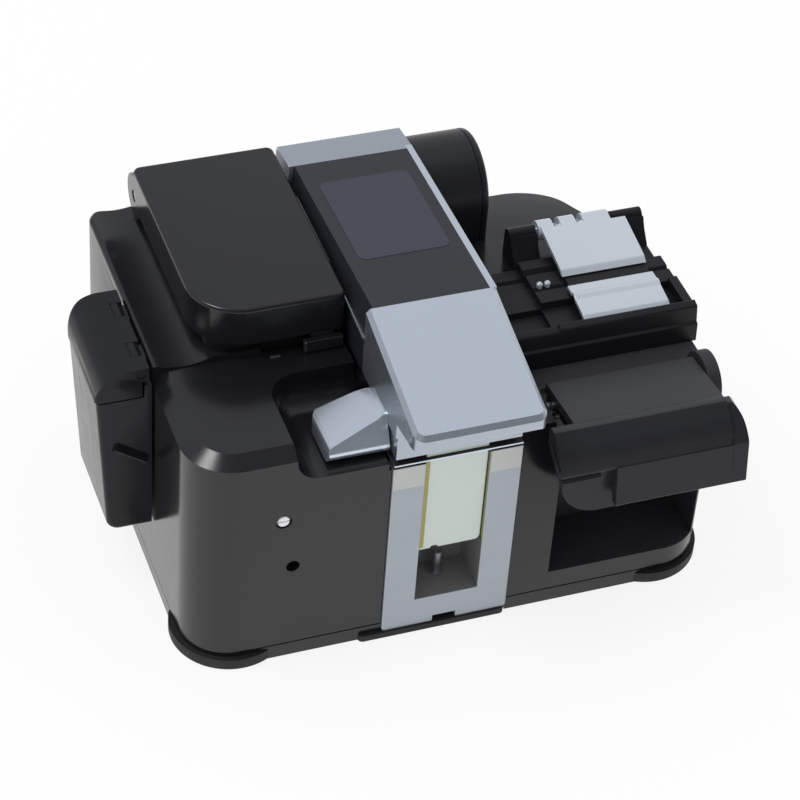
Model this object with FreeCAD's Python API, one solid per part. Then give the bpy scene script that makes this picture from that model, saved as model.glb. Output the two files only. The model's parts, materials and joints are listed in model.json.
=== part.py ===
import FreeCAD, Part
import math
import os

V = FreeCAD.Vector

# One-action fibre cleaver, in millimetres.
# +X runs right along the fibre, +Y to the back, +Z up.
# The origin lies on the resting plane, straight below the point where the fibre is cut.

# Fibre
fibre_z = 48.0
fibre_d = 0.9

# Running and seating clearances
run_gap = 0.05
seat_gap = 0.03
side_gap = 0.4

# Casing outline, seen from above
case_left = 49.6
case_right = 54.5
case_front = 40.0
case_back = 35.3
case_wall = 2.2
corner_front = 9.5
corner_rear_left = 3.5
corner_rear_right = 11.0
taper_y = -5.0
taper_in = 9.2
taper_round = 15.0
seam_y = -12.3

# Casing heights
pad_t = 1.6
base_t = 2.0
base_inset = 0.8
front_top = 51.0
front_bevel_run = 3.0
front_bevel_rise = 1.8
rear_top = 52.3
plinth_rise = 2.2
well_floor = 42.8
front_deck = 42.5
rear_deck = 45.0
deck_bend = 14.0
deck_slope = 0.263
valley_r = 14.0
valley_depth = 1.0

# Rubber feet
foot_lip = 0.9
foot_wrap = 1.0
foot_inner = 9.0
foot_tail = 5.5
foot_round = 0.5
strip_left = 17.0
strip_right = 12.3
strip_front = 40.8
strip_back = 20.0

# Lever and its hinge
lever_half = 12.5
lever_gap = 0.7
well_right_gap = 0.1
hinge_y = 26.5
hinge_z = 51.8
hinge_pin_r = 1.6
knuckle_r = 5.0
knuckle_len = 5.5
boss_w = 4.8
boss_half = 5.0
lever_back = 32.6
lever_back_rise = 10.9
crease_y = 24.3
crease_rise = 11.9
panel_front = -21.4
panel_front_rise = 13.4
panel_h = 5.8
panel_slant = 1.3
panel_wall = 1.5
tray_t = 1.5
wall_bottom = 50.5
rim_t = 1.3
label_half = 8.9
label_back = 17.6
label_front = -7.4
label_t = 0.3
label_sink = 0.1

# Lever head, thumb tab and nose
head_front = -50.0
head_front_rise = 6.7
head_edge_h = 3.2
head_wall = 1.8
head_corner = 2.2
head_bevel = 0.8
nose_bottom = 45.2
nose_back = -33.0
nose_recess = 0.2
tab_left = 24.2
tab_back = -26.5
tab_ridge = -35.0
tab_front = -38.8
tab_bottom = 44.8
tab_root_top = 52.0
tab_tip_top = 47.8
tab_round = 1.6

# Front guide plate and the block that slides in it
plate_side = 0.0
plate_top = 43.1
plate_proud = 0.4
plate_t = 3.0
window_half = 6.25
window_floor = 8.35
channel_wall = 2.2
channel_back = -31.0
notch_half = 2.3
notch_h = 1.4
block_bottom = 20.5
block_back = -34.0
block_set = 0.5
block_socket = 3.0
block_notch = 1.2
stop_x = 0.2
stop_y = -34.1
stop_r = 1.05
stop_flange_r = 1.5
stop_flange_h = 0.5
stop_gap = 6.7

# Hinge housing on the right of the lever
drum_r = 10.3
drum_len = 12.2
drum_cap_t = 1.5
drum_bore = 6.0
drum_round = 1.0
lever_spring_r = 4.4
lever_spring_wire = 0.8
lever_spring_turns = 5
coil_pitch = 1.85

# Top lid over the rollers
lid_left = -41.0
lid_side = 0.1
lid_front = -13.5
lid_back = 33.0
lid_bottom = 54.8
lid_height = 8.0
lid_t = 1.6
lid_corner = 10.0
lid_small_corner = 1.5
lid_edge = 0.7
lid_hinge_y = 31.5
lid_hinge_z = 57.0
lid_knuckle_r = 4.5
lid_lug_r = 3.4
lid_pin_r = 1.2
lid_lug_w = 6.8
lid_lug_left = -38.2
lid_lug_right = -22.9
plinth_left = -38.5
plinth_front = -11.0
plinth_back = 26.0
lid_notch_left = -29.0
lid_notch_back = -10.5
lid_notch_z = 49.8

# Scrap rollers
roller_x = -24.0
roller_r = 4.0
roller_nip = 0.4
roller_front = -6.2
roller_back = 9.0
axle_r = 1.2
bearing_t = 1.4
bearing_half = 3.5
roller_well_half = 6.0
roller_well_front = -10.3
roller_well_back = 12.0
frame_t = 1.5
frame_bottom = 34.0

# Cutting bed, carriage and blade
bed_side = 2.3
bed_front = -17.0
bed_back = 20.5
bed_bottom = 26.0
bed_top = 47.2
bed_skin = 2.5
bed_wall = 1.6
bed_flange_side = 0.3
bed_flange_t = 1.4
bed_slot_half = 1.3
blade_r = 8.0
blade_t = 0.9
blade_bevel = 2.0
blade_over = 0.1
blade_pin_r = 1.5
carriage_y = 9.0
carriage_side = 1.0
carriage_half_y = 5.0
carriage_bottom = 28.0
carriage_top = 43.0
carriage_slot_half = 0.9
carriage_travel = 15.0
guide_rod_r = 1.4
guide_rod_in = 2.0
guide_rod_z = 31.0
pad_inner = 2.4
pad_side = 3.2
pad_half_y = 4.0
pad_depth = 1.0
clamp_gap = 0.2
clamp_side = 4.5
clamp_half_y = 5.0
clamp_bottom = 52.0
clamp_top = 55.0
clamp_travel = 1.5
clamp_pin_in = 1.6
clamp_pin_r = 0.8
clamp_head_r = 1.3
anvil_half_x = 1.5
anvil_half_y = 3.0
anvil_bottom = 49.2

# Scrap bin on the left side
bin_gap = 0.3
bin_front = -14.0
bin_back = 9.0
bin_bottom = 15.0
bin_lip = 47.0
bin_out_bottom = 8.8
bin_out_top = 10.6
bin_t = 1.4
bin_roof = 53.8
bin_round = 6.4
bin_pin_in = 2.0
bin_pin_z = 52.3
bin_pin_r = 0.8
bin_ridge_x = -54.0
bin_ridge_z = 34.2
bin_ridge_h = 2.0
bin_ridge_len = 7.4
bin_ridge_tilt = 35.6
bin_corner = 3.5
bin_front_corner = 1.0
bin_cover_in = 0.5
bin_wall_drop = 2.4
bin_ridge_out = 1.3
spigot_half = 5.0
spigot_low = 44.4
spigot_high = 49.6
spigot_in = 1.7
fibre_window = 3.5

# Fibre platform on the right
bed_left_gap = 0.8
platform_left = 27.5
platform_right = 55.3
platform_front = -20.8
rail_top = 50.2
step_z = 46.3
rail_back = -17.6
rail_front = -19.3
tray_z = 47.0
ledge_y = -9.7
land_z = 48.4
groove_half = 0.9
groove_depth = 0.9
stop_groove_y = -5.3
land_back = 3.4
rod_y_pos = 9.5
rod_z_pos = 50.3
rod_r = 0.9
barrel_r = 1.4
sheet_roll_r = 2.0
tray_rib = 1.8
tray_rib_h = 2.3
barrel_left_end = 33.0
barrel_right_start = 48.6
clamp_left = 33.8
clamp_right = 51.2
clamp_sheet = 0.8
slot_first = 2.7
slot_second = 7.4
slot_w = 1.5
clamp_lip_y = -4.0
clamp_lip_z = 49.3
finger_back = -6.9
finger_front = -16.0
finger_left = 33.6
finger_right = 51.2
finger_z = 49.6
finger_ridge = 0.9
bar_h = 0.9

# Locating pins beside the groove
locator_x = 29.0
locator_y = -4.4
locator_r = 0.6
locator_h = 0.8
locator_pitch = 1.6

# Press lever at the front right
press_y = -29.7
press_z = 40.8
press_pin_r = 1.3
press_ear_r = 5.5
press_left = 21.9
press_right = 51.5
press_t = 2.0
press_back_y = -27.0
press_back_z = 44.6
press_edge_y = -40.5
press_edge_z = 46.3
grip_ridge_y = -42.6
grip_ridge_z = 47.4
grip_slope_y = -49.0
grip_slope_z = 41.7
grip_front = -50.2
grip_bottom = 32.6
grip_left = 17.0
grip_right = 54.0
grip_t = 1.8
grip_corner = 4.5
slot_deep = 6.0
skirt_left = 27.8
inner_left = 18.0
inner_front = -47.0
inner_bottom = 29.6
inner_round = 8.0
inner_t = 1.4
press_knuckle_r = 2.4
press_knuckle_len = 4.0
press_spring_r = 1.95
press_spring_wire = 0.55
press_spring_turns = 6
pocket_left = 20.9
pocket_floor = 7.9
pocket_back = -26.2
pocket_corner = 0.6
slope_foot_z = 31.5
slope_run = 4.5

# Thumb scoop in the front casing
scoop_left = -30.5
scoop_back = -19.0
scoop_floor = 44.3
scoop_corner = 6.0
scoop_fillet = 4.5

# Screws and the two small features of the front face
screw_r = 1.0
screw_head_r = 2.0
screw_head_h = 1.2
screw_len = 9.0
post_r = 3.0
post_x = 41.0
post_front_y = -22.0
post_back_y = 20.0
post_front_right_x = 47.5
plug_x = -32.7
plug_z = 35.1
plug_r = 1.1
plug_ring_r = 1.6
plug_ring_depth = 0.4
access_x = -30.6
access_z = 23.4
access_r = 1.3

base_low = pad_t
case_low = pad_t + base_t
well_left = -(lever_half + lever_gap)
well_right = lever_half + well_right_gap
plate_half = lever_half + plate_side
panel_half = lever_half - panel_slant
bed_half = lever_half - bed_side
bed_flange_half = lever_half - bed_flange_side
carriage_half_x = bed_half - bed_wall - carriage_side
guide_rod_x = carriage_half_x - guide_rod_in
pad_outer = bed_half - pad_side
clamp_half_x = lever_half - clamp_side
clamp_pin_x = clamp_half_x - clamp_pin_in
drum_right = well_right + drum_len
bed_left = well_right + bed_left_gap
lid_right = well_left - lid_side
crease_z = hinge_z + crease_rise
panel_front_top = hinge_z + panel_front_rise
lever_back_top = hinge_z + lever_back_rise
head_front_top = hinge_z + head_front_rise
lid_top = lid_bottom + lid_height
plinth_top = rear_top + plinth_rise
fibre_r = fibre_d / 2
pad_top = fibre_z - fibre_r
blade_z = fibre_z + blade_over - blade_r
pinch_z = fibre_z + roller_nip / 2 + roller_r
feed_z = fibre_z - roller_nip / 2 - roller_r
bin_wall_x = -case_left - bin_gap
window_clear = 0.2


def box(x0, x1, y0, y1, z0, z1):
    return Part.makeBox(x1 - x0, y1 - y0, z1 - z0, V(x0, y0, z0))


def rod_x(y, z, r, x0, x1):
    return Part.makeCylinder(r, x1 - x0, V(x0, y, z), V(1, 0, 0))


def rod_y(x, z, r, y0, y1):
    return Part.makeCylinder(r, y1 - y0, V(x, y0, z), V(0, 1, 0))


def rod_z(x, y, r, z0, z1):
    return Part.makeCylinder(r, z1 - z0, V(x, y, z0), V(0, 0, 1))


def outline_wire(corners, place):
    """Closed wire through 2D corners (a, b, radius), each corner rounded by an arc."""
    joints = []
    count = len(corners)
    for i, (a, b, r) in enumerate(corners):
        here = V(a, b, 0)
        if r <= 0:
            joints.append((here, None, here))
            continue
        before = corners[i - 1]
        after = corners[(i + 1) % count]
        to_before = (V(before[0], before[1], 0) - here).normalize()
        to_after = (V(after[0], after[1], 0) - here).normalize()
        half = to_before.getAngle(to_after) / 2
        reach = r / math.tan(half)
        middle = (to_before + to_after).normalize()
        bulge = here + middle * (r / math.sin(half) - r)
        joints.append((here + to_before * reach, bulge, here + to_after * reach))
    edges = []
    for i, (start, bulge, end) in enumerate(joints):
        if bulge is not None:
            edges.append(Part.Arc(place(start), place(bulge), place(end)).toShape())
        following = joints[(i + 1) % count][0]
        if end.distanceToPoint(following) > 1e-6:
            edges.append(Part.LineSegment(place(end), place(following)).toShape())
    return Part.Wire(edges)


def slab_x(corners, x0, x1):
    """Prism along X over a (y, z, radius) outline."""
    wire = outline_wire(corners, lambda p: V(x0, p.x, p.y))
    return Part.Face(wire).extrude(V(x1 - x0, 0, 0))


def slab_y(corners, y0, y1):
    """Prism along Y over an (x, z, radius) outline."""
    wire = outline_wire(corners, lambda p: V(p.x, y0, p.y))
    return Part.Face(wire).extrude(V(0, y1 - y0, 0))


def slab_z(corners, z0, z1):
    """Prism along Z over an (x, y, radius) outline."""
    wire = outline_wire(corners, lambda p: V(p.x, p.y, z0))
    return Part.Face(wire).extrude(V(0, 0, z1 - z0))


def joined(shapes):
    whole = shapes[0]
    for shape in shapes[1:]:
        whole = whole.fuse(shape)
    return whole.removeSplitter()


def cut_away(shape, tools):
    for tool in tools:
        shape = shape.cut(tool)
    return shape


def round_edges(shape, r, wanted):
    edges = [e for e in shape.Edges if wanted(e)]
    return shape.makeFillet(r, edges) if edges else shape


def bevel_edges(shape, r, wanted):
    edges = [e for e in shape.Edges if wanted(e)]
    return shape.makeChamfer(r, edges) if edges else shape


def along(edge, axis):
    """True where a straight edge runs along one axis."""
    if edge.Curve.TypeId != "Part::GeomLine":
        return False
    d = edge.Curve.Direction
    return abs(abs(d.dot(axis)) - 1) < 1e-6


def at_z(edge, z):
    b = edge.BoundBox
    return abs(b.ZMin - z) < 1e-4 and abs(b.ZMax - z) < 1e-4


def coil_x(y, z, r, wire_r, x0, turns):
    """Close-wound coil along X, each turn an eight-sided section against the next."""
    pitch = wire_r * coil_pitch
    outer = []
    inner = []
    for i in range(turns):
        start = i * pitch
        for across, out in ((0.0, 0.4), (0.25, 1.0), (0.75, 1.0)):
            outer.append(V(start + across * pitch, r + wire_r * out, 0))
            inner.append(V(start + across * pitch, r - wire_r * out, 0))
    outer.append(V(turns * pitch, r + wire_r * 0.4, 0))
    inner.append(V(turns * pitch, r - wire_r * 0.4, 0))
    corners = outer + inner[::-1]
    coil = Part.Face(Part.makePolygon(corners + [corners[0]])).revolve(V(0, 0, 0), V(1, 0, 0), 360)
    coil.translate(V(x0, y, z))
    return coil


def case_outline(inset):
    """Outline of the casing with its right wall tapering to the back, moved inwards by inset."""
    lean = taper_in / (case_back - taper_y)
    stretch = math.sqrt(1 + lean * lean)
    return [
        (-case_left + inset, -case_front + inset, corner_front - inset),
        (case_right - inset, -case_front + inset, corner_front - inset),
        (case_right - inset, taper_y - inset * (stretch - 1) / lean, taper_round - inset),
        (case_right - taper_in - inset * (stretch - lean), case_back - inset, corner_rear_right - inset),
        (-case_left + inset, case_back - inset, corner_rear_left - inset),
    ]


def deck_z(y):
    """Height of the deck right of the lever, which falls away behind its bend."""
    return rear_deck - deck_slope * max(0.0, y - deck_bend)


def over_deck(x0, x1, y0, top):
    y1 = case_back + 3
    return slab_x([(y0, rear_deck, 0), (deck_bend, rear_deck, 0), (y1, deck_z(y1), 0),
                   (y1, top, 0), (y0, top, 0)], x0, x1)


def post_places():
    return [(-post_x, post_front_y), (post_front_right_x, post_front_y),
            (-post_x, post_back_y), (post_x, post_back_y)]


# Base, feet and screws

def base_plate():
    plate = slab_z(case_outline(base_inset), base_low, case_low)
    plate = plate.cut(box(-plate_half - 0.2, plate_half + 0.2, -case_front - 1,
                          -case_front - plate_proud + plate_t + 0.2, base_low, case_low))
    for x, y in post_places():
        plate = plate.cut(rod_z(x, y, screw_r + seat_gap, base_low, case_low))
        plate = plate.cut(rod_z(x, y, screw_head_r + seat_gap, base_low, base_low + screw_head_h))
    return plate


def base_screws():
    screws = []
    for x, y in post_places():
        shank = rod_z(x, y, screw_r, base_low + screw_head_h, base_low + screw_len)
        head = rod_z(x, y, screw_head_r, base_low, base_low + screw_head_h)
        drive = rod_z(x, y, screw_r * 0.8, base_low, base_low + screw_head_h / 2)
        screws.append(head.fuse(shank).removeSplitter().cut(drive))
    return Part.makeCompound(screws)


def corner_foot(index):
    """Crescent foot round one corner of the outline, flush with the sides at its two ends."""
    corners = case_outline(0)
    x, y, r = corners[index]
    before = corners[index - 1]
    after = corners[(index + 1) % len(corners)]
    here = V(x, y, 0)
    to_before = (V(before[0], before[1], 0) - here).normalize()
    to_after = (V(after[0], after[1], 0) - here).normalize()
    half = to_before.getAngle(to_after) / 2
    middle = (to_before + to_after).normalize()
    bulge = here + middle * (r / math.sin(half) - r - foot_lip * r / corner_front)
    reach = r / math.tan(half) + foot_tail
    start = here + to_before * reach
    end = here + to_after * reach
    rim = Part.Wire([Part.Arc(start, bulge, end).toShape(), Part.LineSegment(end, start).toShape()])
    foot = Part.Face(rim).extrude(V(0, 0, base_low + foot_wrap))
    foot = foot.cut(slab_z(case_outline(foot_inner), 0, base_low))
    foot = foot.cut(slab_z(case_outline(base_inset), base_low, case_low + 1))
    return round_edges(foot, foot_round, lambda e: at_z(e, 0) and e.Curve.TypeId == "Part::GeomCircle"
                       and e.Curve.Radius > foot_inner)


def centre_pad():
    pad = slab_z([(-strip_left, -strip_front, 1), (strip_right, -strip_front, 1),
                  (strip_right, strip_back, 1), (-strip_left, strip_back, 1)], 0, base_low)
    return pad


# Casing

def front_case():
    low = slab_z(case_outline(0), case_low, front_top - front_bevel_rise)
    w0 = outline_wire(case_outline(0), lambda p: V(p.x, p.y, front_top - front_bevel_rise))
    w1 = outline_wire(case_outline(front_bevel_run), lambda p: V(p.x, p.y, front_top))
    shell = low.fuse(Part.makeLoft([w0, w1], True, True)).removeSplitter()
    front_half = box(-case_left - 1, case_right + 1, -case_front - 1, seam_y, 0, front_top + 1)
    shell = shell.common(front_half)
    top = front_top + 1
    shell = shell.cut(box(well_left, case_right + 1, -case_front - 1, seam_y, well_floor, top))
    shell = shell.cut(box(well_right, case_right + 1, -case_front - 1, seam_y, front_deck, top))

    inside = slab_z(case_outline(case_wall), case_low, front_top)
    wall_in = pocket_left - case_wall
    rooms = joined([
        box(-case_left, scoop_left - case_wall, -case_front, seam_y, case_low, front_top - case_wall),
        box(-case_left, well_left - case_wall, -case_front, seam_y, case_low, scoop_floor - case_wall),
        box(well_left - case_wall, wall_in, -case_front, seam_y, case_low, well_floor - case_wall),
        box(wall_in, case_right, pocket_back + case_wall, seam_y, case_low, front_deck - case_wall),
    ])
    slope_room = box(well_right, wall_in, -case_front, -case_front + slope_run + case_wall,
                     slope_foot_z - case_wall, front_top)
    rooms = rooms.cut(slope_room).cut(
        box(well_left - case_wall, wall_in, -case_front, -case_front + case_wall, case_low, front_top))
    shell = shell.cut(inside.common(rooms))
    (left_x, left_y), (right_x, right_y) = post_places()[:2]
    posts = [rod_z(left_x, left_y, post_r, case_low, front_top - case_wall),
             rod_z(right_x, right_y, post_r, case_low, front_deck - case_wall)]
    shell = joined([shell] + posts)
    pilots = [rod_z(x, y, screw_r + seat_gap, case_low, base_low + screw_len + 1)
              for x, y in post_places()[:2]]
    shell = cut_away(shell, pilots)

    gap = window_clear
    front = -case_front - 1
    channel_half = window_half + channel_wall
    shell = cut_away(shell, [
        box(-plate_half - gap, plate_half + gap, front, -case_front - plate_proud + plate_t + gap,
            case_low, top),
        box(-channel_half - gap, channel_half + gap, front, channel_back + channel_wall + gap,
            case_low, top),
        box(-bed_half - gap, bed_half + gap, bed_front - gap, seam_y, case_low, top),
        box(-bed_flange_half, bed_flange_half, bed_front - gap, seam_y, well_floor, top),
    ])

    scoop = slab_z([(scoop_left, front, 0), (well_left + 1, front, 0), (well_left + 1, scoop_back, 0),
                    (scoop_left, scoop_back, scoop_corner)], scoop_floor, top)
    scoop = round_edges(scoop, scoop_fillet, lambda e: at_z(e, scoop_floor)
                        and e.CenterOfMass.x < well_left and e.CenterOfMass.y > front + 1)
    shell = shell.cut(scoop)

    pocket = slab_z([(pocket_left, front, 0), (press_right + side_gap, front, 0),
                     (press_right + side_gap, pocket_back, pocket_corner),
                     (pocket_left, pocket_back, pocket_corner)],
                    pocket_floor, top)
    shell = shell.cut(pocket)
    slope = slab_x([(-case_front - 1, slope_foot_z - 2.4, 0), (-case_front + slope_run, front_deck, 0),
                    (-case_front + slope_run, top, 0), (-case_front - 1, top, 0)],
                   plate_half + gap, pocket_left + 1)
    shell = shell.cut(slope)

    ear = rod_x(press_y, press_z, press_ear_r, press_right + side_gap, case_right)
    ear = ear.common(box(0, case_right, -case_front, seam_y, front_deck - 4, top))
    shell = shell.fuse(ear).removeSplitter()
    shell = shell.cut(rod_x(press_y, press_z, press_pin_r + seat_gap, wall_in - 1, case_right - 0.8))
    shell = shell.cut(rod_y(plug_x, plug_z, plug_r + seat_gap, front, -case_front + case_wall + 1))
    shell = shell.cut(rod_y(plug_x, plug_z, plug_ring_r, front, -case_front + plug_ring_depth))
    shell = shell.cut(rod_y(access_x, access_z, access_r, front, -case_front + case_wall + 1))
    return shell


def lug_spans():
    return [(lid_lug_left, lid_lug_left + lid_lug_w), (lid_lug_right, lid_lug_right + lid_lug_w)]


def rear_case():
    shell = slab_z(case_outline(0), case_low, rear_top)
    top = plinth_top + 1
    rear_half = box(-case_left - 1, case_right + 1, seam_y, case_back + 1, 0, top)
    shell = shell.common(rear_half)
    shell = round_edges(shell, 0.8, lambda e: at_z(e, rear_top) and along(e, V(0, 1, 0))
                        and e.CenterOfMass.x < -case_left + 1)
    back_in = case_back - case_wall
    shell = cut_away(shell, [
        box(well_left, well_right, seam_y - 1, case_back + 1, rear_deck, top),
        box(well_left, well_right, seam_y - 1, back_in, well_floor, top),
        over_deck(well_right - seat_gap, case_right + 1, seam_y - 1, top),
    ])
    valley_x = (-case_left + plinth_left) / 2 + 0.5
    valley_z = rear_top + valley_r - valley_depth
    shell = shell.cut(rod_y(valley_x, valley_z, valley_r, seam_y - 1, case_back + 1))
    plinth = slab_z([(plinth_left, plinth_front, 3), (well_left, plinth_front, 0),
                     (well_left, plinth_back, 0), (plinth_left, plinth_back, 3)],
                    rear_top - 2, plinth_top)
    boss = box(well_left - boss_w, well_left, hinge_y - boss_half, hinge_y + boss_half,
               rear_top - 8, plinth_top)
    boss = boss.cut(rod_x(lid_hinge_y, lid_hinge_z, lid_knuckle_r + side_gap, well_left - boss_w - 1,
                          well_left + 1))
    shell = joined([shell, plinth])

    inside = slab_z(case_outline(case_wall), case_low, plinth_top)
    rooms = joined([
        box(-case_left, well_left - case_wall, seam_y, case_back, case_low, rear_top - case_wall),
        box(well_left - case_wall, well_right - case_wall, seam_y, case_back, case_low,
            well_floor - case_wall),
        slab_x([(seam_y, case_low, 0), (seam_y, rear_deck - case_wall, 0),
                (deck_bend, rear_deck - case_wall, 0), (case_back, deck_z(case_back) - case_wall, 0),
                (case_back, case_low, 0)], well_right + case_wall, case_right),
    ])
    shell = shell.cut(inside.common(rooms))
    lugs = []
    for x0, x1 in lug_spans():
        stem = box(x0, x1, lid_hinge_y - lid_lug_r, lid_hinge_y + lid_lug_r, rear_top - 2, lid_hinge_z)
        lugs.append(joined([stem, rod_x(lid_hinge_y, lid_hinge_z, lid_lug_r, x0, x1)]))
    post_top = deck_z(post_back_y - post_r) - case_wall
    posts = [rod_z(x, y, post_r, case_low, post_top) for x, y in post_places()[2:]]
    left_post = rod_z(-post_x, post_back_y, post_r, case_low, rear_top - case_wall)
    shell = joined([shell, boss, left_post] + lugs + posts)
    gap = window_clear
    shell = cut_away(shell, [
        rod_z(x, y, screw_r + seat_gap, case_low, base_low + screw_len + 1)
        for x, y in post_places()[2:]])
    shell = cut_away(shell, [
        rod_x(lid_hinge_y, lid_hinge_z, lid_pin_r + seat_gap, lid_left, lid_right),
        rod_x(hinge_y, hinge_z, hinge_pin_r + seat_gap, well_left - 4, well_left),
        box(-bed_half - gap, bed_half + gap, seam_y, bed_back + gap, case_low, top),
        box(roller_x - roller_well_half, roller_x + roller_well_half, roller_well_front,
            roller_well_back, rear_top - case_wall, top),
        box(lid_notch_left, well_left, seam_y, lid_notch_back, lid_notch_z, top),
        box(well_left - case_wall - 1, well_left, -fibre_window, fibre_window, fibre_z - 2, fibre_z + 2),
        box(-case_left - 1, -case_left + case_wall + 1, -spigot_half - bin_gap,
            spigot_half + bin_gap, spigot_low - bin_gap, spigot_high + bin_gap),
    ])
    return shell


# Lever hinge

def drum_outline(x0, x1):
    """Round housing whose foot stands on the falling deck."""
    front = hinge_y - drum_r
    flank = slab_x([(front, deck_z(front), 0), (case_back, deck_z(case_back), 0),
                    (case_back, hinge_z, 0), (front, hinge_z, 0)], x0, x1)
    top = hinge_z + drum_r + 1
    disc = rod_x(hinge_y, hinge_z, drum_r, x0, x1).common(over_deck(x0, x1, front - 1, top))
    return joined([disc, flank])


def hinge_drum():
    drum = drum_outline(well_right + 0.2, drum_right)
    drum = drum.cut(rod_x(hinge_y, hinge_z, drum_bore, well_right + 0.2 + case_wall, drum_right))
    return drum.cut(rod_x(hinge_y, hinge_z, hinge_pin_r + seat_gap, well_right, drum_right))


def drum_cap():
    x1 = drum_right + drum_cap_t
    cap = drum_outline(drum_right, x1)
    cap = round_edges(cap, drum_round, lambda e: e.Curve.TypeId == "Part::GeomCircle"
                      and abs(e.CenterOfMass.x - x1) < 1e-4)
    boss = rod_x(hinge_y, hinge_z, drum_bore - 0.1, drum_right - 1.2, drum_right)
    cap = cap.fuse(boss).removeSplitter()
    return cap.cut(rod_x(hinge_y, hinge_z, hinge_pin_r + seat_gap, drum_right - 2, drum_right))


def lever_pin():
    return rod_x(hinge_y, hinge_z, hinge_pin_r, well_left - 4, drum_right)


def lever_spring():
    x0 = well_right + 0.2 + case_wall + 0.3
    return coil_x(hinge_y, hinge_z, lever_spring_r, lever_spring_wire, x0, lever_spring_turns)


# Lever

def top_z(y):
    """Height of the lever's top line between the crease and the head."""
    slope = (panel_front_top - crease_z) / (crease_y - panel_front)
    return crease_z + slope * (crease_y - y)


def lever_frame():
    floor_back = crease_z - panel_h
    floor_front = panel_front_top - panel_h
    half = lever_half
    floor = slab_x([(crease_y, floor_back, 0), (crease_y, floor_back - tray_t, 0),
                    (panel_front, floor_front - tray_t, 0), (panel_front, floor_front, 0)],
                   -half + rim_t, half)
    right_side = [(crease_y + 1, crease_z, 0), (crease_y + 1, wall_bottom, 0),
                  (panel_front, wall_bottom, 0), (panel_front, panel_front_top, 0)]
    right = slab_x(right_side, half - rim_t, half)
    rear = slab_x([(lever_back, lever_back_top, 0.6), (crease_y, crease_z, 0),
                   (crease_y, floor_back - tray_t, 0), (crease_y, wall_bottom, 0),
                   (lever_back, wall_bottom, 2)], -half, half)
    hollow = slab_x([(lever_back - 2, lever_back_top - 2, 0), (crease_y + 1.5, crease_z - 2, 0),
                     (crease_y + 1.5, wall_bottom - 1, 0), (lever_back - 2, wall_bottom - 1, 0)],
                    -half + 2, half - 2)
    rear = rear.cut(hollow)
    knuckles = [rod_x(hinge_y, hinge_z, knuckle_r, -half, -half + knuckle_len),
                rod_x(hinge_y, hinge_z, knuckle_r, half - knuckle_len, half)]
    webs = [box(-half, -half + knuckle_len, hinge_y - knuckle_r, lever_back - 2, hinge_z,
                floor_back - tray_t),
            box(half - knuckle_len, half, hinge_y - knuckle_r, lever_back - 2, hinge_z,
                floor_back - tray_t)]
    frame = joined([floor, right, rear] + knuckles + webs)
    bevel = slab_y([(-half - 1, crease_z - 1.5, 0), (-half - 1, crease_z + 2, 0),
                    (-half + 1.6, crease_z + 2, 0)], crease_y - 1, lever_back + 1)
    frame = frame.cut(bevel)
    return frame.cut(rod_x(hinge_y, hinge_z, hinge_pin_r + run_gap, -half, half))


def lever_panel():
    floor_back = crease_z - panel_h
    floor_front = panel_front_top - panel_h
    y1 = crease_y - seat_gap
    outer = slab_x([(y1, floor_back, 0), (panel_front, floor_front, 0),
                    (panel_front, panel_front_top, 0), (y1, crease_z, 0)],
                   -lever_half, lever_half - rim_t - seat_gap)
    flank = slab_y([(-lever_half - 1, floor_back - 1, 0), (-lever_half - 0.01, floor_back - 1, 0),
                    (-panel_half, panel_front_top + 0.2, 0), (-lever_half - 1, panel_front_top + 0.2, 0)],
                   panel_front, crease_y)
    panel = outer.cut(flank)
    t = panel_wall
    hollow = slab_x([(y1 - t, floor_back - 1, 0), (panel_front + t, floor_front - 1, 0),
                     (panel_front + t, panel_front_top - t, 0), (y1 - t, crease_z - t, 0)],
                    -panel_half + t - 0.4, lever_half - rim_t - t)
    skirt_back = hinge_y - knuckle_r - seat_gap
    skirt = slab_x([(skirt_back, tray_under(skirt_back) + tray_t + seat_gap, 0), (skirt_back, wall_bottom, 0),
                    (panel_front, wall_bottom, 0), (panel_front, floor_front + seat_gap, 0)],
                   -lever_half, -lever_half + rim_t)
    panel = joined([panel.cut(hollow), skirt])
    return panel.cut(label_solid(0))


def label_solid(grow):
    """Blank plate set into the panel's sloping top."""
    plate = slab_z([(-label_half, label_front, 1.6), (label_half, label_front, 1.6),
                    (label_half, label_back, 1.6), (-label_half, label_back, 1.6)],
                   top_z(label_back) - label_t - 2, panel_front_top + 3)
    low = slab_x([(label_back + 1, top_z(label_back + 1) - label_t, 0),
                  (label_front - 1, top_z(label_front - 1) - label_t, 0),
                  (label_front - 1, top_z(label_front - 1) + grow, 0),
                  (label_back + 1, top_z(label_back + 1) + grow, 0)], -label_half - 1, label_half + 1)
    return plate.common(low)


def label_plate():
    return label_solid(label_sink)


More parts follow.
